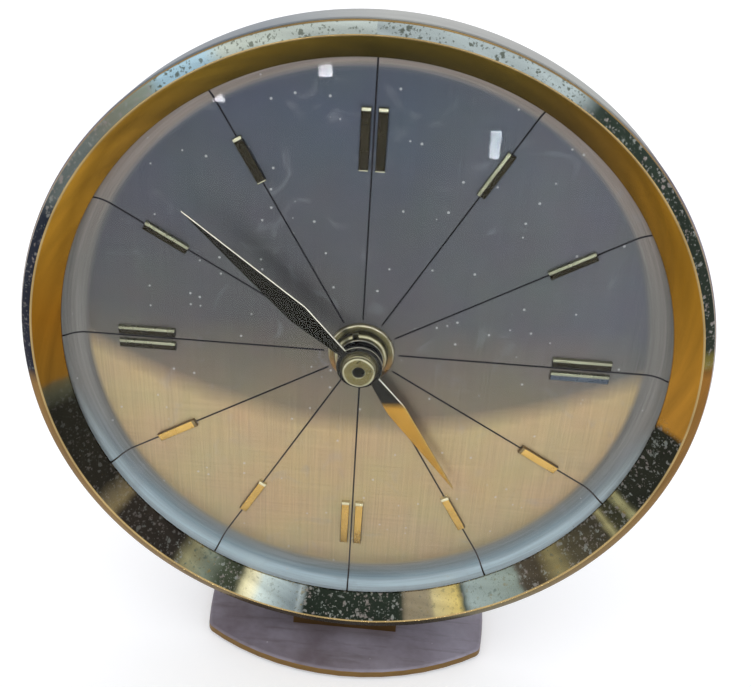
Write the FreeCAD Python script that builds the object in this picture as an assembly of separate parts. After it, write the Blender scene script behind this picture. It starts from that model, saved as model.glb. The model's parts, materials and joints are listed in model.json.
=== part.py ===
import FreeCAD, Part
import math
import os
from FreeCAD import Vector

# Round desk clock on a flat foot: turned bezel, spun case, centre-fixed balance movement.
# Millimetres. X is to the right of the dial, the dial faces -Y, and Z is up.
# The origin is on the table, under the middle of the foot, which is the middle of the whole clock.
# Depths are given as "d": the distance in front of the flat dial face, so y = -d (plus one shift).
# Heights inside the clock are given from the dial centre, and angles run clockwise from 12 o'clock.

# Bezel, a turned ring with a funnel inside its crest
bezel_radius = 80.0
bezel_face_width = 2.3          # narrow front face, outside the crest
bezel_funnel_width = 5.2
bezel_crest_d = 14.5
bezel_front_drop = 0.9          # the narrow front face falls this much from the crest to its rim
bezel_lip_d = 8.7
bezel_lip_thickness = 0.5
bezel_seat_width = 2.2          # ledge that the crystal lies behind
bezel_side_width = 1.2          # side wall that shows in front of the case
bezel_seat_drop = 0.6           # from the back of the lip to the ledge

# Case, a spun pan
case_step = 0.7                 # the case stands out this far round the bezel
case_wall = 1.2
case_straight_back_d = 1.4      # the straight band ends here and the taper begins
case_back_d = -22.0
case_back_width = 7.5           # floor outside the cover's flange
case_band_round = 10.0
case_back_round = 5.0
case_inner_round = 2.0
case_inner_drop = 0.3           # the cavity starts to taper this far behind the outside
ledge_width = 1.9
ledge_thickness = 1.0
spigot_clearance = 0.1

# Crystal and its gasket
crystal_thickness = 1.8
crystal_rise = 5.2
crystal_rim_width = 1.9
crystal_clearance = 0.3
gasket_width = 1.4

# Dial
dial_thickness = 0.7
dial_flange_inset = 0.7         # the rim's flat flange starts this far inside the bezel's crest
dial_ogee_width = 7.8
dial_rise = 3.6
dial_edge_clearance = 0.2
dial_hole_radius = 5.6
line_width = 0.4
line_height = 0.06
line_inner_radius = 9.2
line_end_inset = 1.0

# Applied hour bars
bar_width = 2.2
bar_height = 1.1
bar_chamfer = 0.3
bar_gap = 1.5
single_bar_inset = 8.9          # from the edge of the dial's flat
single_bar_length = 11.5
double_bar_inset = 8.6
double_bar_length = 14.2

# Hands, in the photographed position
minute_angle = 311.5
hour_angle = 144.3
hand_thickness = 0.4
hand_disc_radius = 5.6
minute_tip_inset = 4.8          # from the outer end of the single bars
minute_shoulder = 20.0
minute_width = 5.4
minute_root_width = 1.9
minute_hand_d = 7.0
hour_tip_inset = 1.7            # from the inner end of the double bars
hour_shoulder = 16.4
hour_width = 4.9
hour_root_width = 2.2
hour_hand_d = 3.6
hand_tip_width = 0.3
hand_root_radius = 4.5          # the blade starts inside the disc
shoulder_round = 9.0

# Hub: stem, washer, ring nut, pipes and hand nut
running = 0.05                  # radial running clearance of arbors and pipes
stem_radius = 5.0
stem_front_d = 2.7
washer_radius = 8.2
washer_thickness = 1.0
washer_bevel = 0.45
ring_nut_radius = 6.6
ring_nut_thickness = 2.0
ring_nut_dome = 0.9
ring_nut_slot_width = 1.5
ring_nut_slot_depth = 1.7
ring_nut_slot_height = 1.5
ring_nut_slot_angle = 346.0
hour_pipe_radius = 3.0
hour_pipe_wall = 0.8
minute_tube_wall = 0.7
hand_nut_radius = 3.95
hand_nut_foot_radius = 4.6
hand_nut_foot_height = 0.5
hand_nut_height = 2.4
hand_nut_groove = 0.25
hand_nut_front = 0.8
hand_nut_chamfer = 0.35
hand_nut_hole_radius = 1.4

# Foot: barrel-shaped plate, felt pad and block
plate_thickness = 2.4
plate_edge_break = 0.3
pad_thickness = 1.0
pad_inset = 2.5
plate_front_d = 24.4
plate_back_d = -40.4
plate_end_arc = 68.0
plate_half_width = 40.2
plate_side_arc = 131.0
plate_corner = 3.0
foot_gap = 5.3                  # between the case band and the plate
block_half_width = 14.7
block_front_d = 9.0
block_back_d = -9.0
foot_screw_x = 9.0
foot_screw_d = -5.5
foot_screw_radius = 2.0
foot_screw_head_radius = 3.8
foot_screw_head_height = 1.8
foot_screw_clearance = 0.1
saddle_half_width = 13.5
saddle_depth = 7.0
saddle_thickness = 2.6          # at its back edge, over the tapering case

# Movement plates
gasket_washer_radius = 9.0
gasket_washer_thickness = 1.0
movement_plate_thickness = 1.5
plate_spacing = 16.8
movement_side_margin = 2.2      # beside the third wheel
movement_top_margin = 2.5       # above the balance
movement_bottom = -20.0
front_plate_margin = 1.75       # below the battery holder
movement_corner = 4.0
pillar_inset = 4.0
pillar_radius = 2.2
pillar_screw_head_radius = 2.0
pillar_screw_head_height = 1.1
pillar_screw_radius = 1.0
pillar_screw_length = 5.0

# Wheels: teeth, modules and places of the arbors
cannon_teeth = 14
minute_wheel_teeth = 42
motion_module = 0.4
minute_pinion_teeth = 10
hour_wheel_teeth = 40
centre_wheel_teeth = 60
third_pinion_teeth = 10
third_wheel_teeth = 45
train_module = 0.45
third_wheel_module = 0.4
minute_arbor_angle = 100.0
set_arbor_angle = 170.0
third_arbor_angle = 290.0
wheel_thickness = 1.2
pinion_overhang = 0.3           # a pinion is this much longer than its wheel at each end
wheel_gap = 1.0                 # between wheels that pass in front of each other
arbor_radius = 0.9
pivot_radius = 0.5
pivot_shoulder_gap = 0.2
crossing_rim = 1.6
crossing_hub = 3.0
crossing_arm = 1.4
tooth_depth = 1.15              # below and above the pitch circle, in modules
tooth_height = 0.75
tooth_root_share = 0.33         # half widths of a tooth, in shares of the pitch
tooth_tip_share = 0.12
pivot_seat = 1.2                # length of a pivot inside its plate
post_head_radius = 1.5          # the minute wheel turns on a headed post
post_head_thickness = 0.5
post_collet_wall = 0.7
centre_collar_length = 0.5

# Balance, hairspring and regulator
balance_wheel_gap = 2.0         # between the balance and the centre wheel's pitch circle
balance_radius = 10.5
balance_disc_thickness = 0.8
balance_gap = 4.0
balance_front_gap = 4.8         # from the front plate to the first disc
magnet_radius = 2.0
magnet_thickness = 0.6
magnet_orbit = 7.4
hairspring_inner = 1.6
hairspring_pitch = 0.8
hairspring_half_turns = 11
hairspring_strip = 0.15
hairspring_height = 0.8
hairspring_gap = 1.2
hairspring_collet_gap = 0.1
stud_width = 0.9
stud_height = 1.2
regulator_ring = 4.2
regulator_boss = 2.4
regulator_boss_head = 3.2
regulator_thickness = 0.8
regulator_gap = 0.3
regulator_length = 16.0
regulator_arm_width = 2.6
regulator_pin_radius = 1.1
regulator_swing = 20.0
regulator_slot_clearance = 0.5
regulator_pin_stand_out = 2.0

# Coil and circuit board
coil_radius = 4.5
coil_bore = 1.4
coil_thickness = 2.0
coil_x = 8.8
board_thickness = 1.2
board_inset = 1.0               # from the side and top of the movement plates
board_reach = 14.0              # from the balance arbor down to the board's lower edge
board_left_margin = 2.7
board_coil_margin = 1.5         # board left round the coil, where the balance discs pass
board_balance_margin = 0.6
capacitor = (6.5, 6.0, 2.2, 4.0)            # inset from the right, height on the board, radius, height
trimmer = (5.5, 14.5, 2.6, 4.5)
transistor = (11.0, 7.5, 7.5, 2.0, 2.2)     # insets of its left, right, bottom and top, and its height

# Battery, holder and contacts
battery_radius = 7.25
battery_length = 49.5
battery_nub_radius = 2.75
battery_nub_length = 1.0
battery_back_gap = 1.6          # between the cell and the inside of the hatch
holder_wall = 1.2
holder_gap = 4.75               # below the movement's back plate
holder_end_gap = 2.0
cell_clearance = 0.3
contact_thickness = 0.4
contact_width = 8.0
contact_cone_base = 2.6
contact_cone_tip = 1.2

# Back cover, hatch, knob
cover_flange_width = 7.0
cover_wall = 1.5
cover_depth = 9.0
cover_room = 0.3                # round the corners of the battery holder
cover_step = 1.0                # from the cover's side to the opening in the case
cover_draft = 3.0
cover_screw_angles = (60, 180, 300)
cover_screw_radius = 1.2
cover_screw_head_radius = 2.4
cover_screw_head_height = 1.4
cover_screw_length = 4.0
cover_screw_clearance = 0.1
screw_slot_width = 0.6
cover_back_round = 2.2
cover_inner_round = 0.8
hatch_side_margin = 2.75        # beyond the ends, the top and the bottom of the cell
hatch_top_margin = 1.45
hatch_bottom_margin = 1.85
hatch_grip_half_width = 7.0
hatch_grip_height = 1.4
hatch_grip_stand_out = 1.2
hatch_grip_inset = 1.0
hatch_gap = 0.3
hinge_barrel_radius = 1.1
hinge_pin_radius = 0.5
hinge_knuckle = 12.0
hinge_knuckle_x = 14.0
hinge_end_gap = 0.3
hinge_clearance = 0.06
hinge_stand_off = 0.2
hinge_end_knuckle = 4.0
knob_radius = 8.0
knob_thickness = 5.0
knob_gap = 0.8
knob_flutes = 18
knob_flute_radius = 0.7
knob_flute_offset = 0.2         # flute centres lie this far outside the knob
set_stem_radius = 1.5
stem_hole_clearance = 0.6

# Places that follow from the sizes above
y_shift = (plate_front_d + plate_back_d) / 2.0
plate_top = pad_thickness + plate_thickness
bezel_crest_radius = bezel_radius - bezel_face_width
bezel_lip_radius = bezel_crest_radius - bezel_funnel_width
case_radius = bezel_radius + case_step
dial_height = plate_top + foot_gap + case_radius
bezel_side_d = bezel_crest_d - bezel_front_drop
case_front_d = bezel_side_d - bezel_side_width
case_inner = case_radius - case_wall
spigot_radius = case_inner - spigot_clearance
dial_flange_start = bezel_crest_radius - dial_flange_inset
dial_flat_radius = dial_flange_start - dial_ogee_width
line_outer_radius = dial_flange_start - line_end_inset
single_bar_end = dial_flat_radius - single_bar_inset
single_bar_start = single_bar_end - single_bar_length
double_bar_end = dial_flat_radius - double_bar_inset
double_bar_start = double_bar_end - double_bar_length
minute_tip = single_bar_end - minute_tip_inset
hour_tip = double_bar_start - hour_tip_inset
dial_flange_d = dial_rise
ledge_front_d = dial_flange_d - dial_thickness
ledge_back_d = ledge_front_d - ledge_thickness
crystal_seat_d = bezel_lip_d - bezel_lip_thickness - bezel_seat_drop
crystal_back_d = crystal_seat_d - crystal_thickness
crystal_bore = bezel_crest_radius
crystal_radius = crystal_bore - crystal_clearance
crystal_dome_radius = crystal_radius - crystal_rim_width
washer_front_d = washer_thickness
ring_nut_front_d = washer_front_d + ring_nut_thickness
hour_pipe_bore = hour_pipe_radius - hour_pipe_wall
minute_tube_radius = hour_pipe_bore - running
minute_tube_bore = minute_tube_radius - minute_tube_wall
nut_back_d = minute_hand_d + hand_thickness
nut_front_d = nut_back_d + hand_nut_height
tube_front_d = nut_front_d - hand_nut_front
stem_bore = hour_pipe_radius + running
front_plate_d = -dial_thickness - gasket_washer_thickness
inside_front_d = front_plate_d - movement_plate_thickness
inside_back_d = inside_front_d - plate_spacing
back_plate_d = inside_back_d - movement_plate_thickness
cover_back_d = case_back_d - cover_wall - cover_depth
cover_inside_d = cover_back_d + cover_wall
battery_room = battery_radius + cell_clearance
battery_z = movement_bottom - holder_gap - holder_wall - battery_room
holder_left = -battery_length / 2.0 - holder_end_gap
holder_right = battery_length / 2.0 + battery_nub_length + holder_end_gap
holder_low = battery_z - battery_room - holder_wall
front_plate_bottom = holder_low - front_plate_margin
cover_side_radius = math.hypot(holder_right + holder_wall, holder_low) + cover_room + cover_wall + cover_draft
cover_flange_radius = cover_side_radius + cover_flange_width
case_opening_radius = cover_side_radius + cover_step
cover_screw_orbit = (case_opening_radius + cover_flange_radius) / 2.0
case_back_radius = cover_flange_radius + case_back_width
hatch_half_width = battery_length / 2.0 + hatch_side_margin
hatch_top = battery_z + battery_radius + hatch_top_margin
hatch_bottom = battery_z - battery_radius - hatch_bottom_margin
motion_distance = motion_module * (cannon_teeth + minute_wheel_teeth) / 2.0
hour_module = 2.0 * motion_distance / (minute_pinion_teeth + hour_wheel_teeth)
third_distance = train_module * (centre_wheel_teeth + third_pinion_teeth) / 2.0
third_reach = third_distance * abs(math.sin(math.radians(third_arbor_angle)))
movement_half_width = third_reach + third_wheel_module * third_wheel_teeth / 2.0 + movement_side_margin
balance_z = train_module * centre_wheel_teeth / 2.0 + balance_radius + balance_wheel_gap
movement_top = balance_z + balance_radius + movement_top_margin
pillar_x = movement_half_width - pillar_inset
pillar_top_z = movement_top - pillar_inset
pillar_bottom_z = movement_bottom + pillar_inset
hour_wheel_front = inside_front_d - pinion_overhang - 2.0 * pivot_shoulder_gap
hour_wheel_back = hour_wheel_front - wheel_thickness
minute_wheel_front = hour_wheel_back - wheel_gap
minute_wheel_back = minute_wheel_front - wheel_thickness
third_wheel_front = minute_wheel_back - wheel_gap - pinion_overhang
third_wheel_back = third_wheel_front - wheel_thickness
centre_wheel_front = third_wheel_back - wheel_gap
centre_wheel_back = centre_wheel_front - wheel_thickness

pieces = {}


def around(angle, radius, start=(0.0, 0.0)):
    turn = math.radians(angle)
    return (start[0] + radius * math.sin(turn), start[1] + radius * math.cos(turn))


minute_arbor = around(minute_arbor_angle, motion_distance)
set_arbor = around(set_arbor_angle, motion_distance, minute_arbor)
third_arbor = around(third_arbor_angle, third_distance)
balance_arbor = (0.0, balance_z)


def place(x, d, z):
    return Vector(x, y_shift - d, dial_height + z)


def keep(name, shape):
    if not shape.isValid():
        print("not valid:", name)
    pieces[name] = shape


def edges_of(corners, close=True):
    # Lines between corner points; a corner (u, v, radius) is rounded by a tangent arc, and a hidden one
    # given as (u, v, radius, True) is cut off flat between the same two points
    count = len(corners)
    ends = []
    for i, corner in enumerate(corners):
        here = Vector(corner[0], corner[1], 0)
        if len(corner) == 2 or corner[2] <= 0:
            ends.append((here, here, None))
            continue
        before = Vector(*corners[i - 1][:2], 0) - here
        after = Vector(*corners[(i + 1) % count][:2], 0) - here
        half = before.getAngle(after) / 2.0
        reach = corner[2] / math.tan(half)
        before.normalize()
        after.normalize()
        middle = before + after
        middle.normalize()
        top = None if len(corner) > 3 else here + middle * (corner[2] / math.sin(half) - corner[2])
        ends.append((here + before * reach, here + after * reach, top))
    edges = []
    for i in range(count if close else count - 1):
        first, second = ends[i], ends[(i + 1) % count]
        if first[2] is not None:
            edges.append(Part.Arc(first[0], first[2], first[1]).toShape())
        elif (first[1] - first[0]).Length > 1e-6:
            edges.append(Part.LineSegment(first[0], first[1]).toShape())
        if (second[0] - first[1]).Length > 1e-6:
            edges.append(Part.LineSegment(first[1], second[0]).toShape())
    return edges


def turned(corners):
    # A profile of (radius, d) corners, turned about the clock's axis
    wire = Part.Wire(Part.__sortEdges__(edges_of(corners)))
    return spun(wire)


def spun(wire):
    face = Part.Face(wire)
    solid = face.revolve(Vector(0, 0, 0), Vector(0, 1, 0), 360)
    solid = fixed(solid)
    solid.rotate(Vector(0, 0, 0), Vector(1, 0, 0), 180)
    solid.translate(place(0, 0, 0))
    return solid


def fixed(shape):
    solid = Part.Solid(shape.Shells[0]) if shape.ShapeType != "Solid" else shape
    if solid.Volume < 0:
        solid.reverse()
    return solid


def rod(centre, radius, front, back):
    return Part.makeCylinder(radius, front - back, place(centre[0], front, centre[1]), Vector(0, 1, 0))


def pipe(centre, radius, bore, front, back):
    return rod(centre, radius, front, back).cut(rod(centre, bore, front + 1, back - 1))


def bar(x0, x1, front, back, z0, z1):
    return Part.makeBox(x1 - x0, front - back, z1 - z0, place(x0, front, z0))


def slab(corners, front, back):
    # An outline of (x, z) corners, as thick as front to back
    wire = Part.Wire(Part.__sortEdges__(edges_of(corners)))
    solid = Part.Face(wire).extrude(Vector(0, 0, front - back))
    solid.rotate(Vector(0, 0, 0), Vector(1, 0, 0), 90)
    solid.translate(place(0, back, 0))
    return solid


def swung(shape, angle, centre=(0.0, 0.0)):
    turned_copy = shape.copy()
    turned_copy.rotate(place(centre[0], 0, centre[1]), Vector(0, 1, 0), angle)
    return turned_copy


def joined(shapes):
    return shapes[0].fuse(shapes[1:]).removeSplitter()


def group(shapes):
    return Part.makeCompound(shapes)


# Case, bezel, crystal

def case_outline():
    return [(0, case_front_d), (case_radius, case_front_d),
            (case_radius, case_straight_back_d, case_band_round),
            (case_back_radius, case_back_d, case_back_round), (0, case_back_d)]


def case_cavity():
    inside = case_inner - spigot_clearance
    return turned([(0, ledge_back_d), (inside, ledge_back_d),
                   (inside, case_straight_back_d - case_inner_drop, case_inner_round, True),
                   (case_back_radius - case_wall, case_back_d + case_wall, case_back_round - case_wall, True),
                   (0, case_back_d + case_wall)])


def make_case():
    shell = turned(case_outline()).cut(case_cavity())
    shell = shell.cut(rod((0, 0), case_inner, case_front_d + 1, ledge_front_d))
    shell = shell.cut(rod((0, 0), case_inner - ledge_width, ledge_front_d + 1, ledge_back_d - 1))
    shell = shell.cut(rod((0, 0), case_opening_radius, 0, case_back_d - 1))
    for x in (-foot_screw_x, foot_screw_x):
        shell = shell.cut(foot_screw_hole(x))
    for angle in cover_screw_angles:
        shell = shell.cut(rod(around(angle, cover_screw_orbit), cover_screw_radius, 0, case_back_d - 1))
    keep("case_shell", shell)


def make_bezel():
    side_rim = (case_radius + bezel_radius) / 2.0
    keep("bezel", turned([
        (bezel_lip_radius, bezel_lip_d), (bezel_crest_radius, bezel_crest_d), (bezel_radius, bezel_side_d),
        (side_rim, bezel_side_d - bezel_side_width / 2.0), (side_rim, case_front_d),
        (spigot_radius, case_front_d), (spigot_radius, dial_flange_d), (crystal_bore, dial_flange_d),
        (crystal_bore, crystal_seat_d), (crystal_bore - bezel_seat_width, crystal_seat_d),
        (bezel_lip_radius, bezel_lip_d - bezel_lip_thickness)]))


def dome(radius, edge_d, rise):
    # Region behind a shallow dome, down to the plane of its edge
    ball = (radius ** 2 + rise ** 2) / (2.0 * rise)
    sphere = Part.makeSphere(ball, place(0, edge_d + rise - ball, 0))
    return sphere.common(rod((0, 0), radius + 1, edge_d + rise + 1, edge_d))


def make_crystal():
    rim = rod((0, 0), crystal_radius, crystal_seat_d, crystal_back_d)
    glass = joined([rim, dome(crystal_dome_radius, crystal_seat_d, crystal_rise)])
    glass = glass.cut(dome(crystal_dome_radius, crystal_back_d, crystal_rise))
    keep("crystal", glass)
    keep("crystal_gasket", pipe((0, 0), crystal_radius, crystal_radius - gasket_width,
                                crystal_back_d, dial_flange_d))


# Dial

def dial_front(lift, hidden=False):
    # Region behind the dial's front face, lifted by a little: flat, then an ogee up to the flange
    run = dial_flange_start - dial_flat_radius
    half = math.atan2(dial_rise, run)
    ogee = run / (2.0 * math.sin(2.0 * half))
    middle = (dial_flat_radius + run / 2.0, lift + dial_rise / 2.0)
    deep = -dial_rise - dial_thickness
    low = Vector(dial_flat_radius, lift, 0)
    mid = Vector(middle[0], middle[1], 0)
    high = Vector(dial_flange_start, lift + dial_rise, 0)
    low_top = Vector(dial_flat_radius + ogee * math.sin(half), lift + ogee * (1 - math.cos(half)), 0)
    high_top = Vector(dial_flange_start - ogee * math.sin(half),
                      lift + dial_rise - ogee * (1 - math.cos(half)), 0)
    rim = case_inner - dial_edge_clearance
    if hidden:
        ogee_edges = Part.makePolygon([low, low_top, mid, high_top, high]).Edges
    else:
        ogee_edges = [Part.Arc(low, low_top, mid).toShape(), Part.Arc(mid, high_top, high).toShape()]
    path = [Part.LineSegment(Vector(0, lift, 0), low).toShape()] + ogee_edges + [
            Part.LineSegment(high, Vector(rim, lift + dial_rise, 0)).toShape(),
            Part.LineSegment(Vector(rim, lift + dial_rise, 0), Vector(rim, deep, 0)).toShape(),
            Part.LineSegment(Vector(rim, deep, 0), Vector(0, deep, 0)).toShape(),
            Part.LineSegment(Vector(0, deep, 0), Vector(0, lift, 0)).toShape()]
    return spun(Part.Wire(path))


def make_dial():
    plate = dial_front(0).cut(dial_front(-dial_thickness, True))
    plate = plate.cut(rod((0, 0), dial_hole_radius, 1, -dial_thickness - 1))
    keep("dial_plate", plate)
    inlay = dial_front(line_height).cut(dial_front(0))
    lines = []
    for hour in range(12):
        strip = bar(-line_width / 2, line_width / 2, dial_rise + 1, -1, line_inner_radius, line_outer_radius)
        lines.extend(swung(strip, 30.0 * hour).common(inlay).Solids)
    keep("dial_lines", group(lines))


def hour_bar(start, end, offset):
    block = bar(offset - bar_width / 2, offset + bar_width / 2, bar_height, 0, start, end)
    top = [e for e in block.Edges if abs(e.CenterOfMass.y - place(0, bar_height, 0).y) < 1e-6]
    return block.makeChamfer(bar_chamfer, top)


def make_markers():
    bars = []
    pair = (bar_width + bar_gap) / 2.0
    for hour in range(12):
        if hour % 3 == 0:
            made = [hour_bar(double_bar_start, double_bar_end, side * pair) for side in (-1, 1)]
        else:
            made = [hour_bar(single_bar_start, single_bar_end, 0)]
        bars.extend(swung(b, 30.0 * hour) for b in made)
    lines = pieces["dial_lines"]
    keep("hour_bars", group([b.cut(lines) for b in bars]))


# Hub and hands

def make_hub():
    stem = pipe((0, 0), stem_radius, stem_bore, stem_front_d, inside_front_d)
    keep("centre_stem", stem)
    bore = stem_radius + running
    keep("dial_washer", turned([(bore, 0), (washer_radius, 0), (washer_radius, washer_front_d - washer_bevel),
                                (washer_radius - washer_bevel, washer_front_d), (bore, washer_front_d)]))
    nut = turned([(stem_radius, washer_front_d), (ring_nut_radius, washer_front_d),
                  (ring_nut_radius, ring_nut_front_d - ring_nut_dome),
                  (ring_nut_radius - ring_nut_dome, ring_nut_front_d), (stem_radius, ring_nut_front_d)])
    for turn in (0, 180):
        slot = bar(-ring_nut_slot_width / 2, ring_nut_slot_width / 2, ring_nut_front_d + 1,
                   ring_nut_front_d - ring_nut_slot_height, ring_nut_radius - ring_nut_slot_depth,
                   ring_nut_radius + 1)
        nut = nut.cut(swung(slot, ring_nut_slot_angle + turn))
    keep("ring_nut", nut)
    keep("fixing_washer", pipe((0, 0), gasket_washer_radius, stem_radius + running,
                               -dial_thickness, front_plate_d))


def hand_blade(tip, shoulder, width, root_width, front, back):
    half = width / 2.0
    root = root_width / 2.0
    point = hand_tip_width / 2.0
    return slab([(-root, hand_root_radius), (-half, shoulder, shoulder_round), (-point, tip), (point, tip),
                 (half, shoulder, shoulder_round),
                 (root, hand_root_radius)], front, back)


def make_hands():
    hour_front = hour_hand_d + hand_thickness
    hour = joined([hand_blade(hour_tip, hour_shoulder, hour_width, hour_root_width, hour_front, hour_hand_d),
                   rod((0, 0), hand_disc_radius, hour_front, hour_hand_d)])
    hour = hour.cut(rod((0, 0), hour_pipe_radius, hour_front + 1, hour_hand_d - 1))
    keep("hour_hand", swung(hour, hour_angle))
    minute_front = minute_hand_d + hand_thickness
    minute = joined([hand_blade(minute_tip, minute_shoulder, minute_width, minute_root_width,
                                minute_front, minute_hand_d),
                     rod((0, 0), hand_disc_radius, minute_front, minute_hand_d)])
    minute = minute.cut(rod((0, 0), minute_tube_radius, minute_front + 1, minute_hand_d - 1))
    keep("minute_hand", swung(minute, minute_angle))
    middle = (nut_back_d + hand_nut_foot_height + nut_front_d) / 2.0
    neck = hand_nut_radius - hand_nut_groove
    keep("hand_nut", turned([
        (minute_tube_radius, nut_back_d), (hand_nut_foot_radius, nut_back_d),
        (hand_nut_radius, nut_back_d + hand_nut_foot_height), (hand_nut_radius, middle - hand_nut_groove),
        (neck, middle), (hand_nut_radius, middle + hand_nut_groove),
        (hand_nut_radius, nut_front_d - hand_nut_chamfer), (hand_nut_radius - hand_nut_chamfer, nut_front_d),
        (hand_nut_hole_radius + hand_nut_chamfer, nut_front_d),
        (hand_nut_hole_radius, nut_front_d - hand_nut_chamfer), (hand_nut_hole_radius, tube_front_d),
        (minute_tube_radius, tube_front_d)]))


# Wheels

def wheel_blank(teeth, module, centre, phase, front, back):
    # Trapezoid teeth: thick at the root, slim at the tip, with backlash at the pitch circle
    pitch = module * teeth / 2.0
    step = 360.0 / teeth
    root, tip = pitch - tooth_depth * module, pitch + tooth_height * module
    points = []
    for i in range(teeth):
        at = phase + i * step
        for radius, share in ((root, -tooth_root_share), (tip, -tooth_tip_share),
                              (tip, tooth_tip_share), (root, tooth_root_share)):
            points.append(around(at + share * step, radius, centre))
    return slab(points, front, back)


def crossings(pitch, module, centre, front, back, arms=4):
    # Windows between the rim, the arms and the hub of a wheel
    ring = pipe(centre, pitch - crossing_rim - module, crossing_hub, front + 1, back - 1)
    for i in range(arms):
        arm = bar(centre[0] - crossing_arm / 2, centre[0] + crossing_arm / 2, front + 1, back - 1,
                  centre[1], centre[1] + pitch)
        ring = ring.cut(swung(arm, i * 360.0 / arms, centre))
    return ring


def meshing(teeth_a, phase_a, direction, teeth_b):
    # Phase of wheel b, whose gap meets the tooth of wheel a that points along the centre line
    return direction + 180.0 + 180.0 / teeth_b - (phase_a - direction) * teeth_a / teeth_b


def pivoted(centre, radius, front, back):
    # An arbor between the movement plates, with a slim pivot through each plate
    body = rod(centre, radius, front, back)
    ends = rod(centre, pivot_radius, inside_front_d + pivot_seat, inside_back_d - pivot_seat)
    return joined([body, ends])


cannon_phase = 0.0
minute_wheel_phase = meshing(cannon_teeth, cannon_phase, minute_arbor_angle, minute_wheel_teeth)
set_phase = meshing(minute_wheel_teeth, minute_wheel_phase, set_arbor_angle, cannon_teeth)
hour_phase = 0.0
minute_pinion_phase = meshing(hour_wheel_teeth, hour_phase, minute_arbor_angle, minute_pinion_teeth)
centre_phase = 0.0
third_pinion_phase = meshing(centre_wheel_teeth, centre_phase, third_arbor_angle, third_pinion_teeth)


def make_minute_train():
    tube = rod((0, 0), minute_tube_radius, tube_front_d, back_plate_d)
    pinion = wheel_blank(cannon_teeth, motion_module, (0, 0), cannon_phase,
                         minute_wheel_front + pinion_overhang, minute_wheel_back - pinion_overhang)
    collar = rod((0, 0), crossing_hub, centre_wheel_front + centre_collar_length, centre_wheel_front)
    shaft = joined([tube, pinion, collar])
    shaft = shaft.cut(rod((0, 0), minute_tube_bore, tube_front_d + 1, back_plate_d - 1))
    keep("minute_arbor", shaft)
    pitch = train_module * centre_wheel_teeth / 2.0
    wheel = wheel_blank(centre_wheel_teeth, train_module, (0, 0), centre_phase,
                        centre_wheel_front, centre_wheel_back)
    wheel = wheel.cut(crossings(pitch, train_module, (0, 0), centre_wheel_front, centre_wheel_back))
    keep("centre_wheel", wheel.cut(rod((0, 0), minute_tube_radius, 0, inside_back_d)))


def make_hour_wheel():
    pitch = hour_module * hour_wheel_teeth / 2.0
    wheel = wheel_blank(hour_wheel_teeth, hour_module, (0, 0), hour_phase, hour_wheel_front, hour_wheel_back)
    wheel = wheel.cut(crossings(pitch, hour_module, (0, 0), hour_wheel_front, hour_wheel_back))
    sleeve = rod((0, 0), hour_pipe_radius, hour_hand_d + hand_thickness, hour_wheel_back)
    whole = joined([wheel, sleeve])
    keep("hour_wheel", whole.cut(rod((0, 0), hour_pipe_bore, hour_hand_d + 2, hour_wheel_back - 1)))


def make_minute_wheel():
    pitch = motion_module * minute_wheel_teeth / 2.0
    wheel = wheel_blank(minute_wheel_teeth, motion_module, minute_arbor, minute_wheel_phase,
                        minute_wheel_front, minute_wheel_back)
    wheel = wheel.cut(crossings(pitch, motion_module, minute_arbor, minute_wheel_front, minute_wheel_back))
    pinion = wheel_blank(minute_pinion_teeth, hour_module, minute_arbor, minute_pinion_phase,
                         hour_wheel_front + pinion_overhang, hour_wheel_back - pinion_overhang)
    collet_radius = arbor_radius + post_collet_wall
    keep("minute_wheel", wheel.cut(rod(minute_arbor, collet_radius, 0, inside_back_d)))
    collet = rod(minute_arbor, collet_radius, hour_wheel_back, minute_wheel_back - pinion_overhang)
    bore = rod(minute_arbor, arbor_radius + running, 0, inside_back_d)
    keep("minute_wheel_pinion", joined([pinion, collet]).cut(bore))
    post_back = minute_wheel_back - pinion_overhang - pivot_shoulder_gap
    post = rod(minute_arbor, arbor_radius, front_plate_d, post_back)
    head = rod(minute_arbor, post_head_radius, post_back, post_back - post_head_thickness)
    keep("minute_wheel_post", joined([post, head]))


def make_third_wheel():
    pitch = third_wheel_module * third_wheel_teeth / 2.0
    wheel = wheel_blank(third_wheel_teeth, third_wheel_module, third_arbor, 0.0,
                        third_wheel_front, third_wheel_back)
    wheel = wheel.cut(crossings(pitch, third_wheel_module, third_arbor, third_wheel_front, third_wheel_back))
    keep("third_wheel", wheel.cut(rod(third_arbor, arbor_radius, 0, inside_back_d)))
    pinion = wheel_blank(third_pinion_teeth, train_module, third_arbor, third_pinion_phase,
                         centre_wheel_front + pinion_overhang, centre_wheel_back - pinion_overhang)
    arbor = pivoted(third_arbor, arbor_radius, inside_front_d - pivot_shoulder_gap,
                    inside_back_d + pivot_shoulder_gap)
    keep("third_pinion", joined([arbor, pinion]))


def make_set_knob():
    knob_front = cover_back_d - knob_gap
    pinion = wheel_blank(cannon_teeth, motion_module, set_arbor, set_phase,
                         minute_wheel_front + pinion_overhang, minute_wheel_back - pinion_overhang)
    stem = rod(set_arbor, set_stem_radius, inside_front_d - pivot_shoulder_gap, knob_front)
    pivot = rod(set_arbor, pivot_radius, inside_front_d + pivot_seat, inside_front_d - 1)
    keep("setting_stem", joined([stem, pivot, pinion]))
    knob = rod(set_arbor, knob_radius, knob_front, knob_front - knob_thickness)
    rim = [e for e in knob.Edges if e.Closed and abs(e.CenterOfMass.y - place(
        0, knob_front - knob_thickness, 0).y) < 1e-6]
    knob = knob.makeChamfer(knob_flute_radius, rim)
    for i in range(knob_flutes):
        flute_at = around(i * 360.0 / knob_flutes, knob_radius + knob_flute_offset, set_arbor)
        knob = knob.cut(rod(flute_at, knob_flute_radius, knob_front + 1, knob_front - knob_thickness - 1))
    keep("set_knob", knob)


# Movement frame

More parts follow.
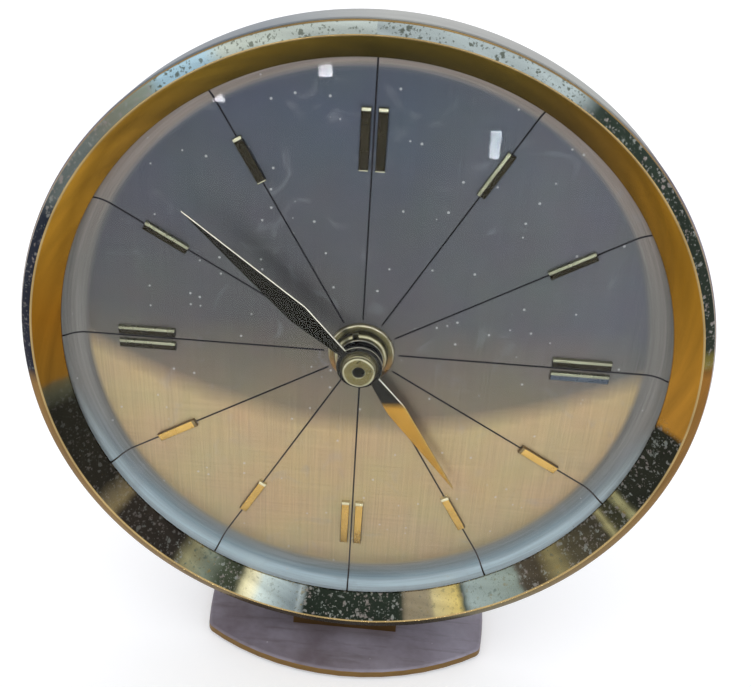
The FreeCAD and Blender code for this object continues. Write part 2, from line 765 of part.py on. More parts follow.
def plate_outline(bottom):
    w, t, c = movement_half_width, movement_top, movement_corner
    return [(-w, bottom, c), (w, bottom, c), (w, t, c), (-w, t, c)]


def pillar_places():
    return [(sx * pillar_x, z) for sx in (-1, 1) for z in (pillar_bottom_z, pillar_top_z)]


def make_frame():
    front = slab(plate_outline(front_plate_bottom), front_plate_d, inside_front_d)
    back = slab(plate_outline(movement_bottom), inside_back_d, back_plate_d)
    front = front.cut(rod((0, 0), stem_radius, 0, inside_front_d - 1))
    back = back.cut(rod((0, 0), minute_tube_radius + running, inside_back_d + 1, back_plate_d - 1))
    front = front.cut(rod(minute_arbor, arbor_radius, 0, inside_front_d - 1))
    for centre in (third_arbor, balance_arbor):
        hole = rod(centre, pivot_radius + running, 0, back_plate_d - 1)
        front, back = front.cut(hole), back.cut(hole)
    front = front.cut(rod(set_arbor, pivot_radius + running, 0, inside_front_d - 1))
    back = back.cut(rod(set_arbor, set_stem_radius + running, inside_back_d + 1, back_plate_d - 1))
    boss_back = back_plate_d - 2 * regulator_gap - regulator_thickness
    boss = rod(balance_arbor, regulator_boss, back_plate_d, boss_back)
    cap = rod(balance_arbor, regulator_boss_head, boss_back, boss_back - regulator_thickness)
    screw_end = back_plate_d + pillar_screw_length
    pillars, screws = [], []
    for centre in pillar_places():
        post = rod(centre, pillar_radius, inside_front_d, inside_back_d)
        screw = joined([rod(centre, pillar_screw_head_radius, back_plate_d,
                            back_plate_d - pillar_screw_head_height),
                        rod(centre, pillar_screw_radius, screw_end, back_plate_d)])
        hole = rod(centre, pillar_screw_radius, screw_end, back_plate_d - 1)
        pillars.append(post.cut(hole))
        back = back.cut(hole)
        screws.append(screw)
    keep("front_plate", front)
    keep("back_plate", back)
    keep("movement_pillars", group(pillars))
    keep("pillar_screws", group(screws))
    keep("balance_bush", joined([boss, cap]))


# Balance, hairspring, regulator, coil, board

balance_front_d = inside_front_d - balance_front_gap
balance_back_d = balance_front_d - 2 * balance_disc_thickness - balance_gap
hairspring_d = balance_back_d - hairspring_gap


def make_balance():
    staff = pivoted(balance_arbor, arbor_radius, inside_front_d - pivot_shoulder_gap,
                    inside_back_d + pivot_shoulder_gap)
    discs, magnets = [], []
    for front in (balance_front_d, balance_back_d + balance_disc_thickness):
        disc = rod(balance_arbor, balance_radius, front, front - balance_disc_thickness)
        for turn in (90, 270):
            disc = disc.cut(rod(around(turn, magnet_orbit, balance_arbor), magnet_radius, 0, inside_back_d))
        discs.append(disc)
    inner_front = balance_front_d - balance_disc_thickness
    inner_back = balance_back_d + balance_disc_thickness
    for turn in (0, 180):
        centre = around(turn, magnet_orbit, balance_arbor)
        magnets.append(rod(centre, magnet_radius, inner_front, inner_front - magnet_thickness))
        magnets.append(rod(centre, magnet_radius, inner_back + magnet_thickness, inner_back))
    collet = rod(balance_arbor, hairspring_inner - hairspring_strip / 2 - hairspring_collet_gap,
                 hairspring_d, hairspring_d - hairspring_height)
    keep("balance_wheel", joined([staff, collet] + discs))
    keep("balance_magnets", group(magnets))


def make_hairspring():
    # Half turns whose centres alternate, so that each meets the next with no corner
    strips = []
    radius = hairspring_inner
    centre = 0.0
    back = hairspring_d - hairspring_height
    for i in range(hairspring_half_turns):
        side = 1 if i % 2 == 0 else -1
        ring = pipe((balance_arbor[0] + centre, balance_arbor[1]), radius + hairspring_strip / 2,
                    radius - hairspring_strip / 2, hairspring_d, back)
        reach = radius + 1
        low, high = (balance_z, balance_z + reach) if side > 0 else (balance_z - reach, balance_z)
        strips.append(ring.common(bar(centre - reach, centre + reach, hairspring_d + 1, back - 1, low, high)))
        end_x = centre - side * radius
        centre += side * hairspring_pitch / 4.0
        radius += hairspring_pitch / 4.0
    keep("hairspring", joined(strips))
    # The strip's outer end stands on the stud, which hangs from the back plate
    inner_x = end_x + hairspring_strip / 2
    keep("hairspring_stud", bar(inner_x - stud_width, inner_x, hairspring_d, inside_back_d,
                                balance_z - stud_height, balance_z))


def make_regulator():
    front = back_plate_d - regulator_gap
    back = front - regulator_thickness
    x, z = balance_arbor
    tip = z + regulator_length
    ring = rod(balance_arbor, regulator_ring, front, back)
    arm = bar(x - regulator_arm_width / 2, x + regulator_arm_width / 2, front, back, z, tip)
    end = rod((x, tip), regulator_arm_width / 2, front, back)
    pin = rod((x, tip), regulator_pin_radius, back, cover_back_d - regulator_pin_stand_out)
    lever = joined([ring, arm, end, pin])
    keep("regulator_lever", lever.cut(rod(balance_arbor, regulator_boss + running, 0, back - 1)))


def regulator_slot():
    x, z = balance_arbor
    half = regulator_pin_radius + regulator_slot_clearance
    front, back = cover_inside_d + 1, cover_back_d - 1
    ring = pipe(balance_arbor, regulator_length + half, regulator_length - half, front, back)
    reach = 2 * regulator_length
    spread = math.tan(math.radians(regulator_swing)) * reach
    wedge = slab([(x, z), (x - spread, z + reach), (x + spread, z + reach)], front, back)
    ends = [rod(around(turn, regulator_length, balance_arbor), half, front, back)
            for turn in (-regulator_swing, regulator_swing)]
    return joined([ring.common(wedge)] + ends)


def make_electrics():
    middle = (balance_front_d + balance_back_d) / 2.0
    coil_front, coil_back = middle + coil_thickness / 2, middle - coil_thickness / 2
    centre = (coil_x, balance_z)
    keep("drive_coil", pipe(centre, coil_radius, coil_bore, coil_front, coil_back))
    board_front, board_back = middle + board_thickness / 2, middle - board_thickness / 2
    right, top = movement_half_width - board_inset, movement_top - board_inset
    bottom = balance_z - board_reach
    board = bar(coil_x + board_left_margin, right, board_front, board_back, bottom, top)
    board = board.cut(rod(centre, coil_radius, 0, inside_back_d))
    board = board.cut(rod((pillar_x, pillar_top_z), pillar_radius, 0, inside_back_d))
    sweep = rod(balance_arbor, balance_radius + board_balance_margin, 0, inside_back_d)
    board = board.cut(sweep.cut(rod(centre, coil_radius + board_coil_margin, 0, inside_back_d)))
    keep("circuit_board", board)
    capacitor_at = (right - capacitor[0], bottom + capacitor[1])
    trimmer_at = (right - trimmer[0], bottom + trimmer[1])
    keep("board_parts", group([
        rod(capacitor_at, capacitor[2], board_back, board_back - capacitor[3]),
        rod(trimmer_at, trimmer[2], board_front + trimmer[3], board_front),
        bar(right - transistor[0], right - transistor[1], board_back, board_back - transistor[4],
            top - transistor[2], top - transistor[3])]))


# Battery

battery_d = cover_inside_d + battery_back_gap + battery_radius


def lengthwise(x0, x1, radius):
    return Part.makeCylinder(radius, x1 - x0, place(x0, battery_d, battery_z), Vector(1, 0, 0))


def make_battery():
    half = battery_length / 2.0
    nub_end = half + battery_nub_length
    keep("battery", joined([lengthwise(-half, half, battery_radius),
                            lengthwise(half, nub_end, battery_nub_radius)]))
    left, right, low, high = holder_left, holder_right, battery_z - battery_room, battery_z + battery_room
    body = bar(left - holder_wall, right + holder_wall, inside_front_d, battery_d - battery_radius / 2,
               holder_low, high + holder_wall)
    mouth = bar(left, right, battery_d, cover_back_d, low, high)
    below = bar(left, right, inside_front_d + 1, battery_d + battery_room + holder_wall, low, high)
    keep("battery_holder", body.cut(lengthwise(left, right, battery_room)).cut(mouth).cut(below))
    half_tab = contact_width / 2
    contacts = []
    for wall, end, way in ((left, -half, 1), (right, nub_end, -1)):
        face = wall + way * contact_thickness
        tab = bar(min(wall, face), max(wall, face), battery_d + half_tab, battery_d - half_tab,
                  battery_z - half_tab, battery_z + half_tab)
        cone = Part.makeCone(contact_cone_base, contact_cone_tip, abs(end - face),
                             place(face, battery_d, battery_z), Vector(way, 0, 0))
        contacts.append(joined([tab, cone]))
    keep("battery_contacts", group(contacts))


# Back cover, hatch, fasteners

hinge_d = cover_back_d - hinge_stand_off - hinge_barrel_radius
hinge_z = hatch_bottom - hatch_gap


def barrel(x0, x1, radius):
    return Part.makeCylinder(radius, x1 - x0, place(x0, hinge_d, hinge_z), Vector(1, 0, 0))


def make_back_cover():
    flange_back = case_back_d - cover_wall
    outer_back = cover_side_radius - cover_draft
    dish = turned([
        (case_opening_radius - hatch_gap, case_back_d), (cover_flange_radius, case_back_d),
        (cover_flange_radius, flange_back), (cover_side_radius, flange_back),
        (outer_back, cover_back_d, cover_back_round), (0, cover_back_d), (0, cover_inside_d),
        (outer_back - cover_wall, cover_inside_d, cover_inner_round, True),
        (cover_side_radius - cover_wall, flange_back),
        (cover_side_radius - cover_wall, case_back_d + cover_wall),
        (case_opening_radius - hatch_gap, case_back_d + cover_wall)])
    dish = dish.cut(bar(-hatch_half_width - hatch_gap, hatch_half_width + hatch_gap, cover_inside_d + 1,
                        cover_back_d - 1, hatch_bottom - hatch_gap, hatch_top + hatch_gap))
    stem_hole = set_stem_radius + stem_hole_clearance
    dish = dish.cut(rod(set_arbor, stem_hole, cover_inside_d + 1, cover_back_d - 1))
    dish = dish.cut(regulator_slot())
    inner = hinge_knuckle_x - hinge_knuckle / 2 - hinge_end_gap
    outer = hinge_knuckle_x + hinge_knuckle / 2 + hinge_end_gap
    for x0, x1 in ((-inner, inner), (outer, outer + hinge_end_knuckle), (-outer - hinge_end_knuckle, -outer)):
        leaf = bar(x0, x1, cover_back_d, hinge_d, hinge_z - hinge_barrel_radius, hinge_z - hatch_gap)
        knuckle = joined([barrel(x0, x1, hinge_barrel_radius), leaf])
        knuckle = knuckle.cut(barrel(x0 - 1, x1 + 1, hinge_pin_radius))
        dish = dish.fuse(knuckle)
    for angle in cover_screw_angles:
        dish = dish.cut(rod(around(angle, cover_screw_orbit), cover_screw_radius + cover_screw_clearance,
                            case_back_d + 1, flange_back - 1))
    keep("back_cover", dish.removeSplitter())
    screws = []
    for angle in cover_screw_angles:
        centre = around(angle, cover_screw_orbit)
        head = rod(centre, cover_screw_head_radius, flange_back, flange_back - cover_screw_head_height)
        head = head.cut(bar(centre[0] - cover_screw_head_radius, centre[0] + cover_screw_head_radius,
                            flange_back - cover_screw_head_height / 2,
                            flange_back - cover_screw_head_height - 1,
                            centre[1] - screw_slot_width / 2, centre[1] + screw_slot_width / 2))
        shank = rod(centre, cover_screw_radius, flange_back + cover_screw_length, flange_back)
        screws.append(joined([head, shank]))
    keep("cover_screws", group(screws))


def make_hatch():
    door = bar(-hatch_half_width, hatch_half_width, cover_inside_d, cover_back_d, hatch_bottom, hatch_top)
    for side in (-1, 1):
        x0 = side * hinge_knuckle_x - hinge_knuckle / 2
        x1 = x0 + hinge_knuckle
        leaf = bar(x0, x1, cover_back_d, hinge_d, hinge_z, hatch_bottom + 2 * hinge_barrel_radius)
        door = door.fuse(joined([barrel(x0, x1, hinge_barrel_radius), leaf]))
        door = door.cut(barrel(x0 - hinge_end_gap, x1 + hinge_end_gap, hinge_pin_radius + hinge_clearance))
    grip_top = hatch_top - hatch_grip_inset
    grip = bar(-hatch_grip_half_width, hatch_grip_half_width, cover_back_d,
               cover_back_d - hatch_grip_stand_out, grip_top - hatch_grip_height, grip_top)
    keep("battery_hatch", door.fuse(grip).removeSplitter())
    end = hinge_knuckle_x + hinge_knuckle / 2 + hinge_end_gap + hinge_end_knuckle
    keep("hatch_pin", barrel(-end, end, hinge_pin_radius))


# Foot

def foot_outline(inset, top, bottom):
    middle_d = (plate_front_d + plate_back_d) / 2.0
    end, side = plate_end_arc, plate_side_arc
    height = top - bottom
    solid = None
    across = plate_half_width - side
    for x, d, radius in ((0, plate_front_d - end, end), (0, plate_back_d + end, end),
                         (across, middle_d, side), (-across, middle_d, side)):
        disc = Part.makeCylinder(radius - inset, height, Vector(x, y_shift - d, bottom))
        solid = disc if solid is None else solid.common(disc)
    upright = [e for e in solid.Edges if abs(e.tangentAt(e.FirstParameter).z) > 0.99]
    return solid.makeFillet(plate_corner, upright)


def foot_screw_hole(x):
    radius = foot_screw_radius + foot_screw_clearance
    return Part.makeCylinder(radius, foot_gap + case_radius, Vector(x, y_shift - foot_screw_d, pad_thickness))


def make_foot():
    plate = foot_outline(0, plate_top, pad_thickness)
    top = [e for e in plate.Edges if abs(e.BoundBox.ZMin - plate_top) < 1e-6]
    plate = plate.makeChamfer(plate_edge_break, top)
    block = bar(-block_half_width, block_half_width, block_front_d, block_back_d,
                plate_top - dial_height, -case_radius + foot_gap)
    block = block.cut(turned(case_outline()))
    saddle_front = foot_screw_d + saddle_depth / 2
    saddle_back = saddle_front - saddle_depth
    slope = (case_radius - case_back_radius) / (case_straight_back_d - case_back_d)
    saddle_seat = case_wall + slope * (case_straight_back_d - saddle_back) - case_radius
    saddle = bar(-saddle_half_width, saddle_half_width, saddle_front, saddle_back,
                 -case_radius, saddle_seat + saddle_thickness)
    saddle = saddle.common(case_cavity())
    screws = []
    for x in (-foot_screw_x, foot_screw_x):
        base = Vector(x, y_shift - foot_screw_d, pad_thickness)
        length = saddle.BoundBox.ZMax - pad_thickness
        shank = Part.makeCylinder(foot_screw_radius, length, base)
        head = Part.makeCone(foot_screw_head_radius, foot_screw_radius, foot_screw_head_height, base)
        sink = Part.makeCone(foot_screw_head_radius, foot_screw_radius, foot_screw_head_height, base)
        plate = plate.cut(foot_screw_hole(x)).cut(sink)
        block = block.cut(foot_screw_hole(x))
        saddle = saddle.cut(shank)
        screws.append(joined([shank, head]))
    keep("foot_plate", plate)
    keep("foot_pad", foot_outline(pad_inset, pad_thickness, 0))
    keep("pedestal_block", block)
    keep("foot_saddle", saddle)
    keep("foot_screws", group(screws))


make_case()
make_bezel()
make_crystal()
make_dial()
make_markers()
make_hub()
make_hands()
make_minute_train()
make_hour_wheel()
make_minute_wheel()
make_third_wheel()
make_set_knob()
make_frame()
make_balance()
make_hairspring()
make_regulator()
make_electrics()
make_battery()
make_back_cover()
make_hatch()
make_foot()

os.makedirs("parts", exist_ok=True)
for name, shape in pieces.items():
    shape.exportStep("parts/" + name + ".step")
    print(name, "solids", len(shape.Solids), "volume", round(shape.Volume, 2))
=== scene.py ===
import bmesh
import bpy
import json
import math
from mathutils import Matrix, Vector

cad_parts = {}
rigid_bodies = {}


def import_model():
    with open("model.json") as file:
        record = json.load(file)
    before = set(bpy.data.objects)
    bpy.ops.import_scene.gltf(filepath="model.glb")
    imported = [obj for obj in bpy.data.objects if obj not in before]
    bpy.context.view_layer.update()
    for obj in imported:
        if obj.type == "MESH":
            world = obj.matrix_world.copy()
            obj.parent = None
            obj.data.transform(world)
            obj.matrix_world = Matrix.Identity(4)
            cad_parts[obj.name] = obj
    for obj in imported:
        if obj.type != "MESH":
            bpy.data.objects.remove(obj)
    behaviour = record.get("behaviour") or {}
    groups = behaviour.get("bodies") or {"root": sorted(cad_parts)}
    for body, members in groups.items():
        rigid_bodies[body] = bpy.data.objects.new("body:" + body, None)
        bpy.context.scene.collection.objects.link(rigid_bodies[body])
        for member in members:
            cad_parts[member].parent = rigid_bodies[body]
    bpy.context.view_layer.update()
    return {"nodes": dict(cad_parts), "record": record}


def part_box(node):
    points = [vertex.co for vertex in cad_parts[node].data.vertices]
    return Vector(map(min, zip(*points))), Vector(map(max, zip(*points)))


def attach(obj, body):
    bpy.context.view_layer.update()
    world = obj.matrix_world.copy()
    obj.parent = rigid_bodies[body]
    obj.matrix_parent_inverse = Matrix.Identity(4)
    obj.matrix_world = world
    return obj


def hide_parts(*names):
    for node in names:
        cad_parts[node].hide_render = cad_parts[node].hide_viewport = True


for leftover in list(bpy.data.objects):
    bpy.data.objects.remove(leftover)

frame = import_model()
nodes = frame["nodes"]
mm = 0.001

# The dial centre is the middle of the case, and the dial's flat face is where the hub washer sits
caseLow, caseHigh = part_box("case_shell")
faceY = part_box("dial_washer")[1].y
centreZ = (caseLow.z + caseHigh.z) / 2
dialCentre = Vector((0, faceY, centreZ))


def place(x, d, z):
    return dialCentre + Vector((x, -d, z)) * mm


# Links a socket or sets a value; a colour is given as three numbers
def fill(tree, socket, value):
    if isinstance(value, bpy.types.NodeSocket):
        tree.links.new(value, socket)
    elif socket.type == "RGBA":
        socket.default_value = (*value, 1)
    else:
        socket.default_value = value


def addNode(tree, kind, inputs, **options):
    made = tree.nodes.new(kind)
    for key, value in options.items():
        setattr(made, key, value)
    for key, value in inputs.items():
        fill(tree, made.inputs[key], value)
    return made


def calc(tree, operation, a, b=0.0, clamp=False):
    made = addNode(tree, "ShaderNodeMath", {0: a, 1: b}, operation=operation, use_clamp=clamp)
    return made.outputs[0]


# How far a lies past b, as a share of span between 0 and 1
def past(tree, a, b, span):
    return calc(tree, "DIVIDE", calc(tree, "SUBTRACT", a, b), span, True)


# 0 at b, growing gain times as fast as a, up to 1
def steep(tree, a, b, gain):
    return calc(tree, "MULTIPLY", calc(tree, "SUBTRACT", a, b), gain, True)


def scaled(tree, value, gain, start):
    return calc(tree, "ADD", start, calc(tree, "MULTIPLY", value, gain))


def noiseOf(tree, where, scale, detail, output=0, **more):
    inputs = {"Vector": where, "Scale": scale, "Detail": detail, **more}
    return addNode(tree, "ShaderNodeTexNoise", inputs).outputs[output]


def blendColor(tree, factor, a, b, how="MIX"):
    made = addNode(tree, "ShaderNodeMix", {0: factor, 6: a, 7: b}, data_type="RGBA", blend_type=how)
    return made.outputs[2]


def blendPart(tree, mask, strength, a, b):
    return blendColor(tree, calc(tree, "MULTIPLY", mask, strength), a, b)


def blendValue(tree, factor, a, b):
    return addNode(tree, "ShaderNodeMix", {0: factor, 2: a, 3: b}, data_type="FLOAT").outputs[0]


# Stops hold a position and a colour, or a position and a grey value
def colorStops(tree, factor, stops, low=0.0, high=1.0):
    share = calc(tree, "DIVIDE", calc(tree, "SUBTRACT", factor, low), high - low)
    ramp = addNode(tree, "ShaderNodeValToRGB", {0: share})
    elements = ramp.color_ramp.elements
    elements.remove(elements[1])
    for i, (position, color) in enumerate(stops):
        spot = (position - low) / (high - low)
        element = elements[0] if i == 0 else elements.new(spot)
        element.position = spot
        element.color = (*color, 1) if isinstance(color, tuple) else (color, color, color, 1)
    return ramp.outputs[0]


def shaded(tree, color, shade):
    grey = addNode(tree, "ShaderNodeCombineColor", {0: shade, 1: shade, 2: shade}).outputs[0]
    return blendColor(tree, 1.0, color, grey, "MULTIPLY")


# A group's inputs are one vector and the named values
def newGroup(name, values, outputs, vector="Vector"):
    tree = bpy.data.node_groups.new(name, "ShaderNodeTree")
    if vector:
        tree.interface.new_socket(vector, in_out="INPUT", socket_type="NodeSocketVector")
    for label, value in values.items():
        kind = "NodeSocketVector" if isinstance(value, tuple) else "NodeSocketFloat"
        tree.interface.new_socket(label, in_out="INPUT", socket_type=kind).default_value = value
    for label in outputs:
        tree.interface.new_socket(label, in_out="OUTPUT", socket_type="NodeSocketFloat")
    start = tree.nodes.new("NodeGroupInput").outputs
    end = tree.nodes.new("NodeGroupOutput").inputs
    return tree, start, end


def useGroup(tree, group, **inputs):
    return addNode(tree, "ShaderNodeGroup", inputs, node_tree=group).outputs


# Radius and height in millimetres, and turns clockwise from 12, about the clock's own axis
def makeDialPlace():
    tree, start, end = newGroup("dialPlace", {}, ["Radius", "Turn", "Height", "Across"])
    split = addNode(tree, "ShaderNodeSeparateXYZ", {0: start["Vector"]}).outputs
    across = calc(tree, "MULTIPLY", split["X"], 1 / mm)
    height = calc(tree, "MULTIPLY", calc(tree, "SUBTRACT", split["Z"], centreZ), 1 / mm)
    squares = calc(tree, "ADD", calc(tree, "POWER", across, 2.0), calc(tree, "POWER", height, 2.0))
    turn = calc(tree, "DIVIDE", calc(tree, "ARCTAN2", across, height), 2 * math.pi)
    results = {"Radius": calc(tree, "SQRT", squares), "Turn": calc(tree, "FRACT", calc(tree, "ADD", turn, 1.0)),
               "Height": height, "Across": across}
    for label, value in results.items():
        tree.links.new(value, end[label])
    return tree


# 1 between From and To, falling off over Soft
def makeBand():
    tree, start, end = newGroup("band", {"Value": 0.0, "From": 0.0, "To": 1.0, "Soft": 0.1}, ["Mask"], None)
    rise = past(tree, start["Value"], start["From"], start["Soft"])
    fall = past(tree, start["To"], start["Value"], start["Soft"])
    tree.links.new(calc(tree, "MULTIPLY", rise, fall), end["Mask"])
    return tree


# Blotches of tarnish: uneven spots of many sizes that crowd together where a slow noise lets them
def makeTarnish():
    tree, start, end = newGroup("tarnish", {"Scale": 600.0, "Share": 0.5}, ["Spots"])
    ripple = noiseOf(tree, start["Vector"], calc(tree, "MULTIPLY", start["Scale"], 1.7), 3.0, 1)
    middle = addNode(tree, "ShaderNodeVectorMath", {0: ripple, 1: (0.5, 0.5, 0.5)}, operation="SUBTRACT")
    reach = calc(tree, "DIVIDE", 1.3, start["Scale"])
    nudge = addNode(tree, "ShaderNodeVectorMath", {0: middle.outputs[0], "Scale": reach}, operation="SCALE")
    moved = addNode(tree, "ShaderNodeVectorMath", {0: start["Vector"], 1: nudge.outputs[0]}).outputs[0]
    cells = addNode(tree, "ShaderNodeTexVoronoi", {"Vector": moved, "Scale": start["Scale"]})
    pick = addNode(tree, "ShaderNodeSeparateColor", {0: cells.outputs["Color"]}).outputs[0]
    size = calc(tree, "ADD", 0.1, calc(tree, "MULTIPLY", calc(tree, "POWER", pick, 1.6), 0.48))
    slow = noiseOf(tree, start["Vector"], calc(tree, "MULTIPLY", start["Scale"], 0.14), 4.0)
    spare = calc(tree, "SUBTRACT", slow, calc(tree, "SUBTRACT", 1.0, start["Share"]))
    room = calc(tree, "ADD", calc(tree, "MULTIPLY", spare, 7.0), 0.6, True)
    spots = steep(tree, calc(tree, "MULTIPLY", size, room), cells.outputs["Distance"], 5.5)
    tree.links.new(spots, end["Spots"])
    return tree


# Fine lines along one direction: Stretch holds how dense the noise is along X, Y and Z
def makeBrushing():
    tree, start, end = newGroup("brushing", {"Stretch": (9000, 400, 60)}, ["Value"])
    inputs = {0: start["Vector"], 1: start["Stretch"]}
    drawn = addNode(tree, "ShaderNodeVectorMath", inputs, operation="MULTIPLY")
    tree.links.new(noiseOf(tree, drawn.outputs[0], 1.0, 4.0, Roughness=0.65), end["Value"])
    return tree


# Dust: a few cells of a cell pattern hold one small speck each
def makeDust():
    tree, start, end = newGroup("dust", {"Scale": 400.0, "Size": 0.12, "Share": 0.2}, ["Mask"])
    cells = addNode(tree, "ShaderNodeTexVoronoi", {"Vector": start["Vector"], "Scale": start["Scale"]})
    pick = addNode(tree, "ShaderNodeSeparateColor", {0: cells.outputs["Color"]}).outputs
    chosen = calc(tree, "LESS_THAN", pick[0], start["Share"])
    size = calc(tree, "MULTIPLY", start["Size"], calc(tree, "ADD", pick[1], 0.3))
    inside = steep(tree, size, cells.outputs["Distance"], 30.0)
    tree.links.new(calc(tree, "MULTIPLY", inside, chosen), end["Mask"])
    return tree


dialPlace = makeDialPlace()
band = makeBand()
tarnish = makeTarnish()
brushing = makeBrushing()
dust = makeDust()


def newMaterial(name):
    material = bpy.data.materials.new(name)
    material.use_nodes = True
    tree = material.node_tree
    where = tree.nodes.new("ShaderNodeTexCoord").outputs["Object"]
    return material, tree, tree.nodes["Principled BSDF"], where


def feed(tree, shader, **inputs):
    for key, value in inputs.items():
        fill(tree, shader.inputs[key.replace("_", " ")], value)


def bumpFrom(tree, height, strength, distance):
    inputs = {"Strength": strength, "Distance": distance * mm, "Height": height}
    return addNode(tree, "ShaderNodeBump", inputs).outputs[0]


# The lower part of the dial, bars and hands takes a warm painted reflection, the rest a grey one, with a
# smile-shaped border
warmReflectionBorder = {"height": -18.2, "across": 0.0043, "soft": 6.5}
barReflectionBorder = {"height": -19.0, "soft": 4.0}
handReflectionBorder = {"height": -11.5, "soft": 2.0}
inkReflectionBorder = {"height": -26.0, "soft": 8.0}


def warmReflectionShare(tree, spot, line):
    bend = calc(tree, "MULTIPLY", calc(tree, "POWER", calc(tree, "ABSOLUTE", spot["Across"]), 2.0),
                warmReflectionBorder["across"])
    border = calc(tree, "ADD", line["height"], bend)
    return past(tree, border, spot["Height"], line["soft"])


bezelBrass = {
    "side": (0.24, 0.15, 0.045), "crest": (0.42, 0.3, 0.13), "roughness": 0.24, "spotScale": 820.0,
    "spot": (0.22, 0.235, 0.215), "pink": (0.235, 0.205, 0.19), "darkSpot": (0.06, 0.07, 0.045),
    # Painted reflections round the funnel and the narrow front face, by turns clockwise from 12
    "rightFunnel": [
        (0.0, (0.125, 0.088, 0.01)), (0.06, (0.16, 0.105, 0.012)), (0.1, (0.21, 0.115, 0.014)),
        (0.14, (0.32, 0.16, 0.012)), (0.19, (0.33, 0.16, 0.012)), (0.268, (0.35, 0.165, 0.022)),
        (0.2715, (0.014, 0.015, 0.009)), (0.316, (0.016, 0.017, 0.011)), (0.319, (0.33, 0.31, 0.15)),
        (0.324, (0.03, 0.03, 0.015)), (0.331, (0.036, 0.034, 0.017)), (0.334, (0.3, 0.27, 0.13)),
        (0.338, (0.04, 0.035, 0.022)), (0.361, (0.07, 0.06, 0.035)), (0.372, (0.22, 0.185, 0.085)),
        (0.382, (0.05, 0.04, 0.025)), (0.394, (0.06, 0.05, 0.035)), (0.397, (0.19, 0.23, 0.2)),
        (0.427, (0.22, 0.27, 0.26)), (0.43, (0.03, 0.04, 0.03)), (0.433, (0.46, 0.36, 0.12)),
        (0.447, (0.4, 0.34, 0.17)), (0.45, (0.2, 0.17, 0.11)), (0.464, (0.18, 0.15, 0.1)),
        (0.467, (0.012, 0.018, 0.012)), (0.5, (0.012, 0.018, 0.012))],
    "leftFunnel": [
        (0.5, (0.012, 0.018, 0.012)), (0.524, (0.012, 0.018, 0.012)), (0.5265, (0.33, 0.38, 0.38)),
        (0.5295, (0.18, 0.22, 0.23)), (0.54, (0.3, 0.36, 0.36)), (0.551, (0.52, 0.6, 0.56)),
        (0.556, (0.72, 0.68, 0.46)), (0.561, (0.6, 0.55, 0.33)), (0.565, (0.03, 0.035, 0.02)),
        (0.576, (0.04, 0.05, 0.03)), (0.585, (0.14, 0.16, 0.12)), (0.598, (0.2, 0.185, 0.1)),
        (0.606, (0.016, 0.013, 0.01)), (0.645, (0.018, 0.014, 0.01)), (0.65, (0.15, 0.115, 0.055)),
        (0.656, (0.1, 0.08, 0.045)), (0.664, (0.014, 0.012, 0.008)), (0.717, (0.013, 0.012, 0.007)),
        (0.724, (0.05, 0.05, 0.03)), (0.73, (0.08, 0.065, 0.03)), (0.733, (0.17, 0.08, 0.008)),
        (0.77, (0.225, 0.095, 0.005)), (0.84, (0.42, 0.215, 0.02)), (0.88, (0.38, 0.205, 0.024)),
        (0.93, (0.25, 0.155, 0.016)), (1.0, (0.125, 0.088, 0.01))],
    "face": [
        (0.0, (0.38, 0.44, 0.44)), (0.082, (0.36, 0.42, 0.42)), (0.094, (0.02, 0.03, 0.022)),
        (0.2215, (0.018, 0.024, 0.016)), (0.2235, (0.2, 0.16, 0.03)), (0.2265, (0.18, 0.14, 0.03)),
        (0.228, (0.03, 0.025, 0.012)), (0.232, (0.26, 0.115, 0.018)), (0.3, (0.2, 0.11, 0.03)),
        (0.435, (0.14, 0.12, 0.06)), (0.52, (0.12, 0.105, 0.065)), (0.6, (0.19, 0.12, 0.04)),
        (0.735, (0.22, 0.12, 0.034)), (0.742, (0.012, 0.012, 0.022)), (0.826, (0.014, 0.018, 0.028)),
        (0.834, (0.08, 0.095, 0.09)), (0.866, (0.13, 0.15, 0.14)), (0.88, (0.16, 0.165, 0.13)),
        (0.902, (0.19, 0.22, 0.18)), (0.91, (0.28, 0.42, 0.5)), (0.93, (0.3, 0.43, 0.5)),
        (0.938, (0.38, 0.42, 0.37)), (1.0, (0.38, 0.43, 0.41))],
    # How far spots cover the funnel and the face
    "funnelSpots": [
        (0.262, 0.0), (0.271, 0.75), (0.394, 0.8), (0.4, 0.55), (0.43, 0.4), (0.465, 0.35), (0.468, 0.95),
        (0.524, 0.95), (0.53, 0.4), (0.563, 0.3), (0.567, 0.95), (0.6, 0.8), (0.612, 0.3), (0.72, 0.12),
        (0.735, 0.0)],
    "faceSpots": [
        (0.0, 0.8), (0.085, 0.85), (0.222, 0.85), (0.23, 0.0), (0.735, 0.0), (0.745, 0.35), (0.83, 0.6),
        (0.86, 0.9), (0.9, 0.95), (0.93, 0.7), (1.0, 0.75)],
}


